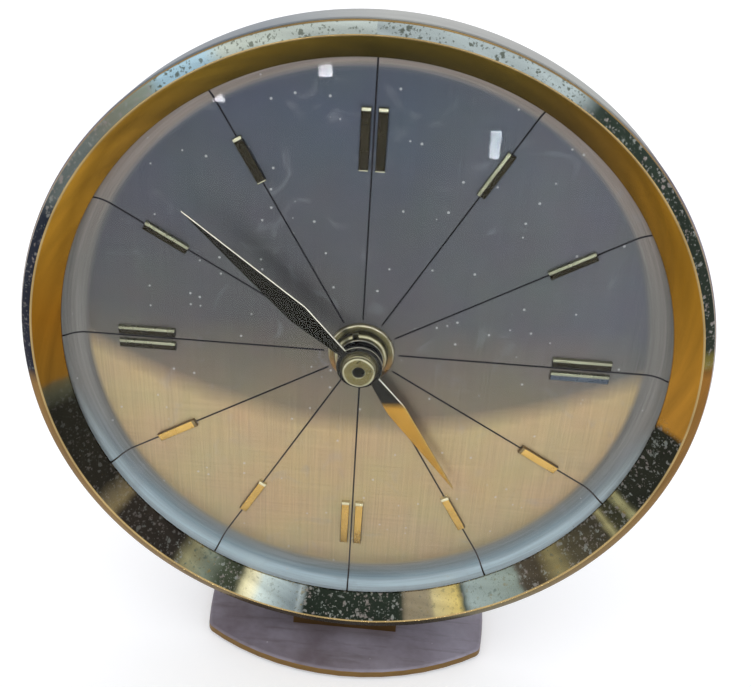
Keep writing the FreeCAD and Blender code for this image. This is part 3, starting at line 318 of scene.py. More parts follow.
def makeBezelBrass():
    look = bezelBrass
    material, tree, shader, where = newMaterial("bezelBrass")
    spot = useGroup(tree, dialPlace, Vector=where)
    slow = noiseOf(tree, where, 260.0, 3.0)
    wander = calc(tree, "MULTIPLY", calc(tree, "SUBTRACT", slow, 0.5), 0.003)
    turn = calc(tree, "ADD", spot["Turn"], wander)
    onLeft = calc(tree, "GREATER_THAN", spot["Turn"], 0.5)
    funnel = blendColor(tree, onLeft, colorStops(tree, turn, look["rightFunnel"], 0.0, 0.5),
                        colorStops(tree, turn, look["leftFunnel"], 0.5, 1.0))
    face = colorStops(tree, turn, look["face"])
    onFace = useGroup(tree, band, Value=spot["Radius"], From=77.8, To=80.2, Soft=0.05)["Mask"]
    onCrest = useGroup(tree, band, Value=spot["Radius"], From=77.4, To=77.92, Soft=0.12)["Mask"]
    onSide = calc(tree, "GREATER_THAN", spot["Radius"], 80.12)
    big = useGroup(tree, tarnish, Vector=where, Scale=look["spotScale"], Share=0.64)["Spots"]
    small = useGroup(tree, tarnish, Vector=where, Scale=look["spotScale"] * 1.9, Share=0.6)["Spots"]
    spots = calc(tree, "MAXIMUM", big, calc(tree, "MULTIPLY", small, 0.8))
    hue = noiseOf(tree, where, 420.0, 2.0)
    spotColor = blendColor(tree, steep(tree, hue, 0.42, 5.0), look["spot"], look["pink"])
    funnelShare = calc(tree, "MULTIPLY", spots, colorStops(tree, turn, look["funnelSpots"]))
    paleThere = calc(tree, "GREATER_THAN", addNode(tree, "ShaderNodeRGBToBW", {0: funnel}).outputs[0], 0.12)
    mottle = blendColor(tree, steep(tree, hue, 0.44, 6.0), (0.075, 0.1, 0.085), (0.2, 0.15, 0.055))
    stained = blendPart(tree, funnelShare, 0.85, funnel, blendColor(tree, paleThere, spotColor, mottle))
    faceShare = calc(tree, "MULTIPLY", spots, colorStops(tree, turn, look["faceSpots"]))
    # Dark spots lie on the pale part of the face, pale ones on its dark parts
    bright = calc(tree, "GREATER_THAN", addNode(tree, "ShaderNodeRGBToBW", {0: face}).outputs[0], 0.25)
    speckled = blendColor(tree, faceShare, face, blendColor(tree, bright, spotColor, look["darkSpot"]))
    body = blendColor(tree, onFace, stained, speckled)
    body = blendColor(tree, onCrest, body, look["crest"])
    body = blendColor(tree, onSide, body, look["side"])
    # Slanting swaths of painted reflection
    radius = spot["Radius"]
    along = calc(tree, "ADD", calc(tree, "MULTIPLY", spot["Turn"], 46.0), calc(tree, "MULTIPLY", radius, 0.42))
    slant = addNode(tree, "ShaderNodeCombineXYZ", {0: along, 1: calc(tree, "MULTIPLY", radius, 0.12)})
    reflectionSwaths = noiseOf(tree, slant.outputs[0], 1.0, 3.0)
    color = shaded(tree, body, scaled(tree, reflectionSwaths, 0.9, 0.55))
    rough = scaled(tree, funnelShare, 0.25, look["roughness"])
    feed(tree, shader, Base_Color=color, Metallic=0.9, Roughness=rough,
         Normal=bumpFrom(tree, funnelShare, 0.12, 0.04))
    return material


dialMetal = {
    "grey": (0.103, 0.1, 0.099), "top": (0.066, 0.08, 0.104), "side": (0.122, 0.126, 0.137),
    "low": (0.225, 0.186, 0.122), "tan": (0.52, 0.385, 0.205), "tanLow": (0.5, 0.385, 0.21),
    "roughness": 0.42, "rimFoot": 68.0, "rimWide": 10.0, "rimFrom": 67.8, "rimSoft": 1.3,
    # Painted reflection across the raised rim by radius: above, below and at the sides
    "rimAbove": [
        (0.0, (0.095, 0.112, 0.142)), (0.08, (0.12, 0.126, 0.142)), (0.2, (0.31, 0.265, 0.23)),
        (0.45, (0.4, 0.335, 0.29)), (0.6, (0.24, 0.19, 0.15)), (1.0, (0.13, 0.1, 0.07))],
    "rimBelow": [
        (0.0, (0.42, 0.34, 0.21)), (0.18, (0.24, 0.25, 0.23)), (0.34, (0.19, 0.235, 0.245)),
        (0.46, (0.26, 0.36, 0.41)), (0.6, (0.72, 0.9, 0.97)), (0.93, (0.9, 0.98, 1.0)),
        (1.0, (0.35, 0.42, 0.46))],
    "rimSide": [
        (0.0, (0.17, 0.165, 0.155)), (0.12, (0.22, 0.21, 0.19)), (0.4, (0.27, 0.255, 0.23)),
        (0.8, (0.24, 0.25, 0.24)), (1.0, (0.14, 0.14, 0.13))],
}


def makeDialMetal():
    look = dialMetal
    material, tree, shader, where = newMaterial("dialMetal")
    spot = useGroup(tree, dialPlace, Vector=where)
    cloud = noiseOf(tree, where, 34.0, 3.0)
    drift = calc(tree, "MULTIPLY", calc(tree, "SUBTRACT", cloud, 0.5), 18.0)
    height = calc(tree, "ADD", spot["Height"], drift)
    # Painted reflection: grey, bluish at the top and the sides, browner low down, and tan below the border
    cool = blendColor(tree, past(tree, height, 12.0, 48.0), look["grey"], look["top"])
    cool = blendColor(tree, past(tree, spot["Across"], 8.0, 50.0), cool, look["side"])
    cool = blendColor(tree, past(tree, 10.0, height, 26.0), cool, look["low"])
    tan = blendColor(tree, past(tree, -40.0, height, 30.0), look["tan"], look["tanLow"])
    flat = blendColor(tree, warmReflectionShare(tree, spot, warmReflectionBorder), cool, tan)
    # The raised rim has a painted reflection, beige above and blue-white below, and a painted shadow at its
    # foot
    rimRadius = past(tree, spot["Radius"], look["rimFoot"], look["rimWide"])
    above = colorStops(tree, rimRadius, look["rimAbove"])
    below = colorStops(tree, rimRadius, look["rimBelow"])
    beside = colorStops(tree, rimRadius, look["rimSide"])
    lowShare = past(tree, -14.0, spot["Height"], 34.0)
    highShare = past(tree, spot["Height"], 20.0, 26.0)
    rim = blendColor(tree, highShare, blendColor(tree, lowShare, beside, below), above)
    onRim = past(tree, spot["Radius"], look["rimFrom"], look["rimSoft"])
    # Patches of a slightly different tint on the grey part, a faint painted reflection of the room
    tints = blendColor(tree, 0.11, (0.5, 0.5, 0.5), noiseOf(tree, where, 75.0, 4.0, 1))
    doubled = blendColor(tree, 1.0, tints, (2.0, 2.0, 2.0), "MULTIPLY")
    flat = blendColor(tree, 1.0, flat, doubled, "MULTIPLY")
    body = blendColor(tree, onRim, flat, rim)
    lines = useGroup(tree, brushing, Vector=where, Stretch=(3400, 200, 45))["Value"]
    cross = useGroup(tree, brushing, Vector=where, Stretch=(60, 100, 2300))["Value"]
    ringPlace = {0: calc(tree, "MULTIPLY", spot["Radius"], 2.2), 1: calc(tree, "MULTIPLY", spot["Turn"], 14.0)}
    rings = addNode(tree, "ShaderNodeCombineXYZ", ringPlace)
    turned = calc(tree, "MULTIPLY", noiseOf(tree, rings.outputs[0], 1.0, 3.0), 0.76)
    straight = calc(tree, "ADD", calc(tree, "MULTIPLY", lines, 0.58), calc(tree, "MULTIPLY", cross, 0.34))
    grain = calc(tree, "ADD", 0.54, blendValue(tree, onRim, straight, turned))
    color = shaded(tree, body, grain)
    # Faint smudges, pale dust and a few dark marks
    smudge = steep(tree, noiseOf(tree, where, 110.0, 5.0, Distortion=1.2), 0.6, 3.4)
    color = blendPart(tree, smudge, 0.42, color, (0.3, 0.32, 0.35))
    specks = useGroup(tree, dust, Vector=where, Scale=400.0, Size=0.13, Share=0.22)["Mask"]
    color = blendPart(tree, specks, 0.5, color, (0.62, 0.62, 0.6))
    marks = useGroup(tree, dust, Vector=where, Scale=120.0, Size=0.05, Share=0.08)["Mask"]
    color = blendColor(tree, marks, color, (0.05, 0.04, 0.03))
    rough = scaled(tree, lines, 0.1, look["roughness"] - 0.05)
    # The lower rim is matt, so that its painted blue-white reflection stays pale beside the funnel
    matt = calc(tree, "MULTIPLY", calc(tree, "MULTIPLY", onRim, lowShare), 0.55)
    feed(tree, shader, Base_Color=color, Metallic=calc(tree, "SUBTRACT", 0.55, matt), Roughness=rough,
         Specular_IOR_Level=0.3, Normal=bumpFrom(tree, lines, 0.06, 0.02))
    return material


# Gilt pieces on the dial with a painted reflection: dark olive above the border and golden below it
def makeGilt(name, dark, warmColor, line, roughness, patch=None):
    material, tree, shader, where = newMaterial(name)
    spot = useGroup(tree, dialPlace, Vector=where)
    slow = noiseOf(tree, where, 190.0, 3.0)
    body = blendColor(tree, warmReflectionShare(tree, spot, line), dark, warmColor)
    if patch:
        near = useGroup(tree, band, Value=spot["Height"], From=patch["low"], To=patch["high"], Soft=0.2)["Mask"]
        right = calc(tree, "GREATER_THAN", spot["Across"], patch["across"])
        body = blendColor(tree, calc(tree, "MULTIPLY", near, right), body, patch["color"])
    color = shaded(tree, body, scaled(tree, slow, 0.52, 0.74))
    marks = useGroup(tree, tarnish, Vector=where, Scale=1500.0, Share=0.36)["Spots"]
    markColor = tuple(part * 0.5 for part in dark)
    color = blendPart(tree, marks, 0.45, color, markColor)
    rough = scaled(tree, slow, 0.12, roughness - 0.05)
    feed(tree, shader, Base_Color=color, Metallic=0.9, Roughness=rough, Specular_IOR_Level=0.15)
    return material


def makeInk():
    material, tree, shader, where = newMaterial("dialInk")
    spot = useGroup(tree, dialPlace, Vector=where)
    worn = noiseOf(tree, where, 700.0, 3.0)
    # The lines take a warm painted reflection below the border
    reflectedInk = blendColor(tree, warmReflectionShare(tree, spot, inkReflectionBorder), (0.006, 0.005, 0.008), (0.035, 0.026, 0.02))
    color = blendPart(tree, worn, 0.25, reflectedInk, (0.03, 0.026, 0.026))
    rough = scaled(tree, worn, 0.2, 0.5)
    feed(tree, shader, Base_Color=color, Specular_IOR_Level=0.12, Roughness=rough)
    return material


lacquer = {"body": (0.13, 0.104, 0.12), "light": (0.335, 0.315, 0.375), "worn": (0.17, 0.2, 0.225),
           "pale": (0.31, 0.32, 0.3), "roughness": 0.36, "paleTopFrom": 52.0}


def makeLacquer():
    look = lacquer
    material, tree, shader, where = newMaterial("brownLacquer")
    spot = useGroup(tree, dialPlace, Vector=where)
    slow = noiseOf(tree, where, 42.0, 6.0, Roughness=0.62)
    body = blendColor(tree, steep(tree, slow, 0.3, 2.2), look["body"], look["light"])
    rubs = useGroup(tree, brushing, Vector=where, Stretch=(60, 500, 500))["Value"]
    body = blendColor(tree, steep(tree, rubs, 0.52, 2.0), body, (0.075, 0.052, 0.048))
    patches = useGroup(tree, tarnish, Vector=where, Scale=300.0, Share=0.4)["Spots"]
    color = blendPart(tree, patches, 0.07, body, look["worn"])
    # The top of the case is paler and streaked, blue-grey on the left and paler on the right
    paleTop = past(tree, spot["Height"], look["paleTopFrom"], 14.0)
    paleTop = calc(tree, "MULTIPLY", paleTop, scaled(tree, slow, 0.7, 0.55), True)
    streaks = useGroup(tree, brushing, Vector=where, Stretch=(30, 900, 30))["Value"]
    topShare = past(tree, spot["Across"], -22.0, 24.0)
    topColor = blendColor(tree, topShare, look["worn"], look["pale"])
    color = blendColor(tree, paleTop, color, shaded(tree, topColor, scaled(tree, streaks, 0.8, 0.6)))
    specks = useGroup(tree, dust, Vector=where, Scale=520.0, Size=0.13, Share=0.2)["Mask"]
    color = blendPart(tree, specks, 0.4, color, (0.5, 0.5, 0.52))
    rough = scaled(tree, slow, 0.2, look["roughness"])
    feed(tree, shader, Base_Color=color, Metallic=0.15, Roughness=rough, Specular_IOR_Level=0.35,
         Normal=bumpFrom(tree, noiseOf(tree, where, 2600.0, 2.0), 0.08, 0.04))
    return material


# Hub pieces: painted highlights on their upper edges, painted shade in their grooves, and browner below
hubBrass = {
    "rings": [
        (0.0, (0.1, 0.09, 0.04)), (0.14, (0.48, 0.46, 0.32)), (0.17, (0.17, 0.145, 0.06)),
        (0.33, (0.17, 0.145, 0.06)), (0.37, (0.55, 0.53, 0.36)), (0.395, (0.3, 0.27, 0.14)),
        (0.41, (0.045, 0.04, 0.02)), (0.5, (0.06, 0.055, 0.025)), (0.535, (0.14, 0.125, 0.06)),
        (0.58, (0.18, 0.16, 0.075)), (0.615, (0.52, 0.5, 0.33)), (0.645, (0.22, 0.2, 0.1)),
        (0.665, (0.05, 0.045, 0.02)), (0.7, (0.1, 0.09, 0.04)), (0.775, (0.16, 0.14, 0.065)),
        (0.8, (0.58, 0.55, 0.4)), (0.82, (0.4, 0.36, 0.22)), (1.0, (0.3, 0.26, 0.14))],
    "lower": (0.26, 0.135, 0.045), "roughness": 0.22,
}


def makeHubBrass():
    look = hubBrass
    material, tree, shader, where = newMaterial("hubBrass")
    spot = useGroup(tree, dialPlace, Vector=where)
    fine = noiseOf(tree, where, 420.0, 3.0)
    wander = calc(tree, "MULTIPLY", calc(tree, "SUBTRACT", fine, 0.5), 0.5)
    radius = calc(tree, "DIVIDE", calc(tree, "ADD", spot["Radius"], wander), 10.0)
    body = colorStops(tree, radius, look["rings"])
    lower = past(tree, 1.0, spot["Height"], 4.0)
    outer = calc(tree, "GREATER_THAN", spot["Radius"], 4.9)
    brown = calc(tree, "MULTIPLY", calc(tree, "MULTIPLY", lower, outer), 0.75)
    color = blendColor(tree, brown, body, look["lower"])
    color = shaded(tree, color, scaled(tree, fine, 0.6, 0.7))
    feed(tree, shader, Base_Color=color, Metallic=0.95, Roughness=scaled(tree, fine, 0.15, look["roughness"]))
    return material


def makeMetal(name, color, dark, roughness, stretch, share=0.2):
    material, tree, shader, where = newMaterial(name)
    lines = useGroup(tree, brushing, Vector=where, Stretch=stretch)["Value"]
    spots = useGroup(tree, tarnish, Vector=where, Scale=1100.0, Share=share)["Spots"]
    body = blendPart(tree, lines, 0.6, color, dark)
    body = blendPart(tree, spots, 0.6, body, dark)
    rough = scaled(tree, lines, 0.2, roughness - 0.06)
    feed(tree, shader, Base_Color=body, Metallic=1.0, Roughness=rough, Normal=bumpFrom(tree, lines, 0.12, 0.03))
    return material


def makePlain(name, color, light, roughness, scale, bump, metallic=0.0):
    material, tree, shader, where = newMaterial(name)
    slow = noiseOf(tree, where, 40.0, 4.0)
    body = blendColor(tree, slow, color, light)
    specks = useGroup(tree, dust, Vector=where, Scale=260.0, Size=0.1, Share=0.1)["Mask"]
    body = blendPart(tree, specks, 0.3, body, (0.45, 0.45, 0.44))
    rough = scaled(tree, slow, 0.14, roughness - 0.06)
    feed(tree, shader, Base_Color=body, Metallic=metallic, Roughness=rough,
         Normal=bumpFrom(tree, noiseOf(tree, where, scale, 4.0), bump, 0.08))
    return material


# Clear for lamp light, so that the dial below it is lit, and coated so that it reflects little
def makeGlass():
    material, tree, shader, where = newMaterial("clearGlass")
    specks = useGroup(tree, dust, Vector=where, Scale=420.0, Size=0.08, Share=0.1)["Mask"]
    color = blendColor(tree, specks, (0.99, 0.995, 1.0), (0.9, 0.9, 0.9))
    rough = calc(tree, "MULTIPLY", noiseOf(tree, where, 60.0, 5.0), 0.008)
    feed(tree, shader, Base_Color=color, Roughness=rough, Transmission_Weight=1.0, IOR=1.5,
         Specular_Tint=(0.13, 0.13, 0.14))
    clear = addNode(tree, "ShaderNodeBsdfTransparent", {"Color": (0.97, 0.975, 0.98)})
    light = tree.nodes.new("ShaderNodeLightPath").outputs
    thin = calc(tree, "MAXIMUM", light["Is Shadow Ray"], light["Is Diffuse Ray"])
    mix = addNode(tree, "ShaderNodeMixShader", {0: thin, 1: shader.outputs[0], 2: clear.outputs[0]})
    tree.links.new(mix.outputs[0], tree.nodes["Material Output"].inputs["Surface"])
    return material


# A blue-grey painted reflection on the lower bar of the 3 o'clock pair
blueReflectionPatch = {"low": -3.3, "high": -0.6, "across": 40.0, "color": (0.085, 0.105, 0.13)}
materials = {
    "polished_brass": makeBezelBrass(),
    "brushed_dial": makeDialMetal(),
    "black_ink": makeInk(),
    "gilt_bars": makeGilt("giltBars", (0.024, 0.02, 0.01), (0.66, 0.41, 0.105), barReflectionBorder, 0.26, blueReflectionPatch),
    "gilt_highlight_caps": makeGilt("giltHighlightCaps", (0.52, 0.51, 0.36), (0.74, 0.68, 0.44), barReflectionBorder, 0.26),
    "gilt_highlight_side": makeGilt("giltHighlightSide", (0.3, 0.305, 0.205), (0.6, 0.5, 0.26), barReflectionBorder, 0.26),
    "gilt_shade": makeGilt("giltShade", (0.02, 0.018, 0.012), (0.2, 0.14, 0.06), barReflectionBorder, 0.3),
    "hand_brass": makeGilt("handBrass", (0.02, 0.019, 0.014), (0.5, 0.265, 0.04), handReflectionBorder, 0.24),
    "hand_highlight_edge": makeGilt("handHighlightEdge", (0.72, 0.7, 0.58), (0.5, 0.34, 0.11), handReflectionBorder, 0.24),
    "hub_brass": makeHubBrass(),
    "aged_brass": makeMetal("agedBrass", (0.26, 0.155, 0.055), (0.085, 0.055, 0.025), 0.34, (120, 900, 900)),
    "movement_brass": makeMetal("movementBrass", (0.66, 0.5, 0.24), (0.38, 0.27, 0.11), 0.3,
                                (900, 300, 90), 0.05),
    "steel": makeMetal("platedSteel", (0.56, 0.56, 0.57), (0.27, 0.27, 0.28), 0.28, (600, 600, 600), 0.05),
    "spring_steel": makeMetal("springSteel", (0.3, 0.33, 0.42), (0.12, 0.13, 0.18), 0.3, (300, 300, 2500)),
    "magnet": makeMetal("sinteredMagnet", (0.2, 0.2, 0.21), (0.1, 0.1, 0.11), 0.5, (2500, 2500, 2500)),
    "copper_winding": makeMetal("copperWinding", (0.58, 0.22, 0.09), (0.22, 0.07, 0.03), 0.3,
                                (200, 9000, 200), 0.02),
    "brown_lacquer": makeLacquer(),
    "glass": makeGlass(),
    "felt": makePlain("feltPad", (0.03, 0.045, 0.034), (0.055, 0.075, 0.058), 0.95, 5200.0, 0.8),
    "rubber": makePlain("softRubber", (0.02, 0.02, 0.02), (0.035, 0.034, 0.033), 0.75, 2600.0, 0.25),
    "black_plastic": makePlain("blackMoulding", (0.016, 0.016, 0.017), (0.032, 0.031, 0.031), 0.48, 3000.0,
                               0.3),
    "knob_plastic": makePlain("knobMoulding", (0.014, 0.014, 0.015), (0.026, 0.025, 0.025), 0.3, 1800.0,
                              0.08),
    "board": makePlain("phenolicBoard", (0.2, 0.13, 0.05), (0.29, 0.19, 0.08), 0.5, 2400.0, 0.2),
    "battery_jacket": makePlain("cellJacket", (0.07, 0.07, 0.085), (0.12, 0.12, 0.14), 0.32, 900.0, 0.05, 0.5),
}
slotOf = {entry["node"]: entry["material_slot"] for entry in frame["record"]["subparts"]}
for name, carried in nodes.items():
    carried.data.materials.clear()
    carried.data.materials.append(materials[slotOf[name]])
print("materials done")


sharpAngle = math.radians(32)  # edges that bend more than this look sharp

def meshFrom(name, bm):
    mesh = bpy.data.meshes.new(name)
    bm.to_mesh(mesh)
    bm.free()
    return mesh


def linked(name, data):
    made = bpy.data.objects.new(name, data)
    bpy.context.scene.collection.objects.link(made)
    return made


# Turns vertices clockwise about the clock's axis
def turnVerts(bm, verts, angle):
    bmesh.ops.rotate(bm, verts=verts, cent=dialCentre, matrix=Matrix.Rotation(math.radians(angle), 3, "Y"))


def onlyVerts(geom):
    return [part for part in geom if isinstance(part, bmesh.types.BMVert)]


def addBox(bm, size, middle):
    made = bmesh.ops.create_cube(bm, size=mm)["verts"]
    bmesh.ops.scale(bm, verts=made, vec=size)
    bmesh.ops.translate(bm, verts=made, vec=middle)
    return made


def thicken(bm, face, shift):
    moved = onlyVerts(bmesh.ops.extrude_face_region(bm, geom=[face])["geom"])
    bmesh.ops.translate(bm, verts=moved, vec=shift)
    return moved


def bevelEdges(bm, edges, offset, segments, **more):
    bmesh.ops.bevel(bm, geom=edges, offset=offset * mm, segments=segments, profile=0.5, affect="EDGES",
                    material=-1, **more)


def cutThrough(bm, spotOn, across):
    bmesh.ops.bisect_plane(bm, geom=bm.verts[:] + bm.edges[:] + bm.faces[:], plane_co=spotOn, plane_no=across)


def absorb(bm, other):
    part = meshFrom("part", other)
    bm.from_mesh(part)
    bpy.data.meshes.remove(part)


def keepPiece(name, bm, node, body="stand", extraMaterials=()):
    bmesh.ops.remove_doubles(bm, verts=bm.verts, dist=0.0005 * mm)
    bmesh.ops.recalc_face_normals(bm, faces=bm.faces)
    mesh = meshFrom(name, bm)
    for polygon in mesh.polygons:
        polygon.use_smooth = True
    mesh.set_sharp_from_angle(angle=sharpAngle)
    piece = linked(name, mesh)
    mesh.materials.append(materials[slotOf[node]])
    for slotName in extraMaterials:
        mesh.materials.append(materials[slotName])
    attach(piece, body)
    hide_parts(node)
    return piece


# A closed outline of corners (a, b) or (a, b, rounding), put in space by the function toPoint
def outlineFace(bm, corners, toPoint, parts=5):
    verts = [bm.verts.new(toPoint(corner[0], corner[1])) for corner in corners]
    bm.faces.new(verts)
    rounded = []
    for i, corner in enumerate(corners):
        if len(corner) == 3:
            before = verts[i - 1].co - verts[i].co
            after = verts[(i + 1) % len(verts)].co - verts[i].co
            rounded.append((verts[i], corner[2] * mm / math.tan(before.angle(after) / 2)))
    for vert, reach in rounded:
        bmesh.ops.bevel(bm, geom=[vert], offset=reach, segments=parts, profile=0.5, affect="VERTICES",
                        material=-1)
    bm.faces.ensure_lookup_table()
    return bm.faces[-1]


# Turns an outline of (radius, depth) corners about the clock's axis
def turnedShape(corners, steps=220, parts=5):
    bm = bmesh.new()
    outlineFace(bm, corners, lambda r, d: place(r, d, 0), parts)
    bmesh.ops.delete(bm, geom=list(bm.faces), context="FACES_ONLY")
    bmesh.ops.spin(bm, geom=bm.verts[:] + bm.edges[:], cent=dialCentre, axis=(0, 1, 0), dvec=(0, 0, 0),
                   angle=2 * math.pi, steps=steps, use_merge=True)
    return bm


bezel = {"lipRadius": 72.5, "lipDepth": 8.7, "crestRadius": 77.7, "crestDepth": 14.5, "faceRadius": 80.0,
         "faceDepth": 13.6, "bandRadius": 80.35, "bandBack": 12.4, "spigotRadius": 79.4, "backDepth": 3.6,
         "seatRadius": 77.7, "seatDepth": 7.6, "seatInner": 75.5, "lipBack": 8.2, "edge": 0.14, "faceFall": 0.6}


def makeBezel():
    b = bezel
    keepPiece("bezelRing", turnedShape([
        (b["lipRadius"], b["lipDepth"], b["edge"]), (b["crestRadius"], b["crestDepth"], b["edge"]),
        (b["faceRadius"], b["faceDepth"], b["edge"]),
        (b["bandRadius"], b["faceDepth"] - b["faceFall"], b["edge"]),
        (b["bandRadius"], b["bandBack"]), (b["spigotRadius"], b["bandBack"]),
        (b["spigotRadius"], b["backDepth"]), (b["seatRadius"], b["backDepth"]),
        (b["seatRadius"], b["seatDepth"]), (b["seatInner"], b["seatDepth"]),
        (b["lipRadius"], b["lipBack"], b["edge"])], 320, 3), "bezel")


glassDome = {"rimRadius": 77.4, "domeRadius": 75.5, "seat": 7.6, "thickness": 1.8, "rise": 5.2, "arcs": 14}


def domePoints(radius, edgeDepth, rise, parts):
    ball = (radius ** 2 + rise ** 2) / (2 * rise)
    half = math.asin(radius / ball)
    turns = [half * i / parts for i in range(parts + 1)]
    return [(ball * math.sin(t), edgeDepth + rise - ball + ball * math.cos(t)) for t in turns]


def makeGlassDome():
    g = glassDome
    front = domePoints(g["domeRadius"], g["seat"], g["rise"], g["arcs"])
    back = domePoints(g["domeRadius"], g["seat"] - g["thickness"], g["rise"], g["arcs"])
    rim = [(g["rimRadius"], g["seat"]), (g["rimRadius"], g["seat"] - g["thickness"])]
    keepPiece("glassDome", turnedShape(front + rim + back[::-1], 200), "crystal")


dialDish = {"hole": 5.6, "flat": 69.2, "flange": 77.0, "rise": 3.6, "edge": 79.3, "thickness": 0.7}


# The two corners of the ogee between the flat and the flange, and their rounding
def ogeeCorners():
    d = dialDish
    run = d["flange"] - d["flat"]
    half = math.atan2(d["rise"], run)
    rounding = run / (2 * math.sin(2 * half))
    reach = rounding * math.tan(half)
    return d["flat"] + reach, d["flange"] - reach, rounding * 0.995


def makeDialDish():
    d = dialDish
    low, high, rounding = ogeeCorners()
    t = d["thickness"]
    keepPiece("dialDish", turnedShape([
        (d["hole"], 0), (low, 0, rounding), (high, d["rise"], rounding), (d["edge"], d["rise"]),
        (d["edge"], d["rise"] - t), (high, d["rise"] - t, rounding), (low, -t, rounding),
        (d["hole"], -t)], 260, 8), "dial_plate")


dialLine = {"width": 0.42, "height": 0.06, "start": 9.2, "end": 76.0}


def makeDialLines():
    line = dialLine
    low, high, rounding = ogeeCorners()
    rise, lift = dialDish["rise"], line["height"]
    bm = bmesh.new()
    half = line["width"] / 2
    face = outlineFace(bm, [
        (line["start"], lift), (low, lift, rounding), (high, rise + lift, rounding), (line["end"], rise + lift),
        (line["end"], rise), (high, rise, rounding), (low, 0, rounding), (line["start"], 0)],
        lambda z, d: place(-half, d, z), 8)
    thicken(bm, face, (line["width"] * mm, 0, 0))
    first = bm.verts[:] + bm.edges[:] + bm.faces[:]
    for hour in range(1, 12):
        copied = bmesh.ops.duplicate(bm, geom=first)["geom"]
        turnVerts(bm, onlyVerts(copied), 30 * hour)
    keepPiece("hourLines", bm, "dial_lines")


hourBar = {"width": 2.2, "height": 1.1, "edge": 0.22, "cap": 0.8, "capInner": 0.35, "band": 0.75,
           "single": (48.8, 60.3), "double": (46.4, 60.6), "offset": 1.85, "uncapped": 99, "topSlope": 0.8}


def makeHourBars():
    bar = hourBar
    bm = bmesh.new()
    for hour in range(12):
        pair = hour % 3 == 0
        start, end = bar["double"] if pair else bar["single"]
        for offset in ((-bar["offset"], bar["offset"]) if pair else (0,)):
            piece = bmesh.new()
            addBox(piece, (bar["width"], bar["height"], end - start),
                   place(offset, bar["height"] / 2, (start + end) / 2))
            frontY = faceY - (bar["height"] - 0.01) * mm
            top = [e for e in piece.edges if all(v.co.y < frontY for v in e.verts)]
            bevelEdges(piece, top, bar["edge"], 3)
            # Material 1 is for painted highlights on the end caps of some bars, 2 for a painted highlight band
            # along the upper side of others, and 3 for painted shade on the sides and on the end caps of the 4
            # and 8 o'clock bars
            caps = (0, bar["uncapped"])
            if hour in (0, 11):
                caps = (start + bar["capInner"], end - bar["cap"])
            elif 4 <= hour <= 8:
                caps = (start + bar["cap"], bar["uncapped"])
            sideways = math.copysign(1, -math.sin(math.radians(30 * hour)))
            banded = hour in (1, 2, 3, 9, 10)
            bandAt = offset + sideways * (bar["width"] / 2 - bar["band"])
            cuts = [(place(0, 0, cap), (0, 0, 1)) for cap in caps]
            if banded:
                cuts.append((place(bandAt, 0, 0), (1, 0, 0)))
            for spotOn, across in cuts:
                cutThrough(piece, spotOn, across)
            piece.normal_update()
            for face in piece.faces:
                middle = face.calc_center_median()
                along = (middle.z - centreZ) / mm
                if along < caps[0] or along > caps[1]:
                    face.material_index = 3 if hour in (4, 8) else 1
                elif banded and (middle.x / mm - bandAt) * sideways > 0:
                    face.material_index = 2
                elif abs(face.normal.y) < bar["topSlope"]:
                    face.material_index = 3
            turnVerts(piece, piece.verts, 30 * hour)
            absorb(bm, piece)
    keepPiece("hourBatons", bm, "hour_bars", extraMaterials=["gilt_highlight_caps", "gilt_highlight_side", "gilt_shade"])


hub = {"washerRadius": 8.2, "washerHeight": 1.0, "washerRound": 0.5, "bore": 5.05, "nutRadius": 6.6,
       "nutBore": 5.0, "nutTop": 3.0, "nutRound": 0.9, "slotWidth": 1.5, "slotDepth": 1.7, "slotAngle": 346,
       "slotFloor": 1.5, "cutterDeep": 3.0, "cutterLong": 3.4}


def makeHub():
    h = hub
    keepPiece("washerRing", turnedShape([
        (h["bore"], 0), (h["washerRadius"], 0), (h["washerRadius"], h["washerHeight"], h["washerRound"]),
        (h["bore"], h["washerHeight"])], 96, 4), "dial_washer")
    bm = turnedShape([
        (h["nutBore"], h["washerHeight"]), (h["nutRadius"], h["washerHeight"]),
        (h["nutRadius"], h["nutTop"], h["nutRound"]), (h["nutBore"], h["nutTop"])], 120, 5)
    nut = keepPiece("ringNut", bm, "ring_nut")
    cutter = bmesh.new()
    for turn in (0, 180):
        made = addBox(cutter, (h["slotWidth"], h["cutterDeep"], h["cutterLong"]), place(
            0, h["slotFloor"] + h["cutterDeep"] / 2, h["nutRadius"] + h["cutterLong"] / 2 - h["slotDepth"]))
        turnVerts(cutter, made, h["slotAngle"] + turn)
    cutPiece = linked("slotCutter", meshFrom("slotCutter", cutter))
    cut = nut.modifiers.new("slots", "BOOLEAN")
    cut.operation = "DIFFERENCE"
    cut.object = cutPiece
    cut.solver = "EXACT"
    bpy.context.view_layer.update()
    finished = bpy.data.meshes.new_from_object(nut.evaluated_get(bpy.context.evaluated_depsgraph_get()))
    nut.modifiers.clear()
    nut.data = finished
    finished.set_sharp_from_angle(angle=sharpAngle)
    bpy.data.objects.remove(cutPiece)


hand = {"disc": 5.6, "thickness": 0.4, "edge": 0.13, "strip": 0.28, "bladeStart": 4.5, "bladeDrop": 0.02,
        "shoulderRound": 9.0, "tipWidth": 0.3, "topSlope": 0.95,
        "minute": {"angle": 311.5, "tip": 55.5, "shoulder": 20.0, "width": 5.4, "root": 1.9, "back": 7.0,
                   "bore": 2.15},
        "hour": {"angle": 144.3, "tip": 44.7, "shoulder": 16.4, "width": 4.9, "root": 2.2, "back": 3.6,
                 "bore": 3.0}}


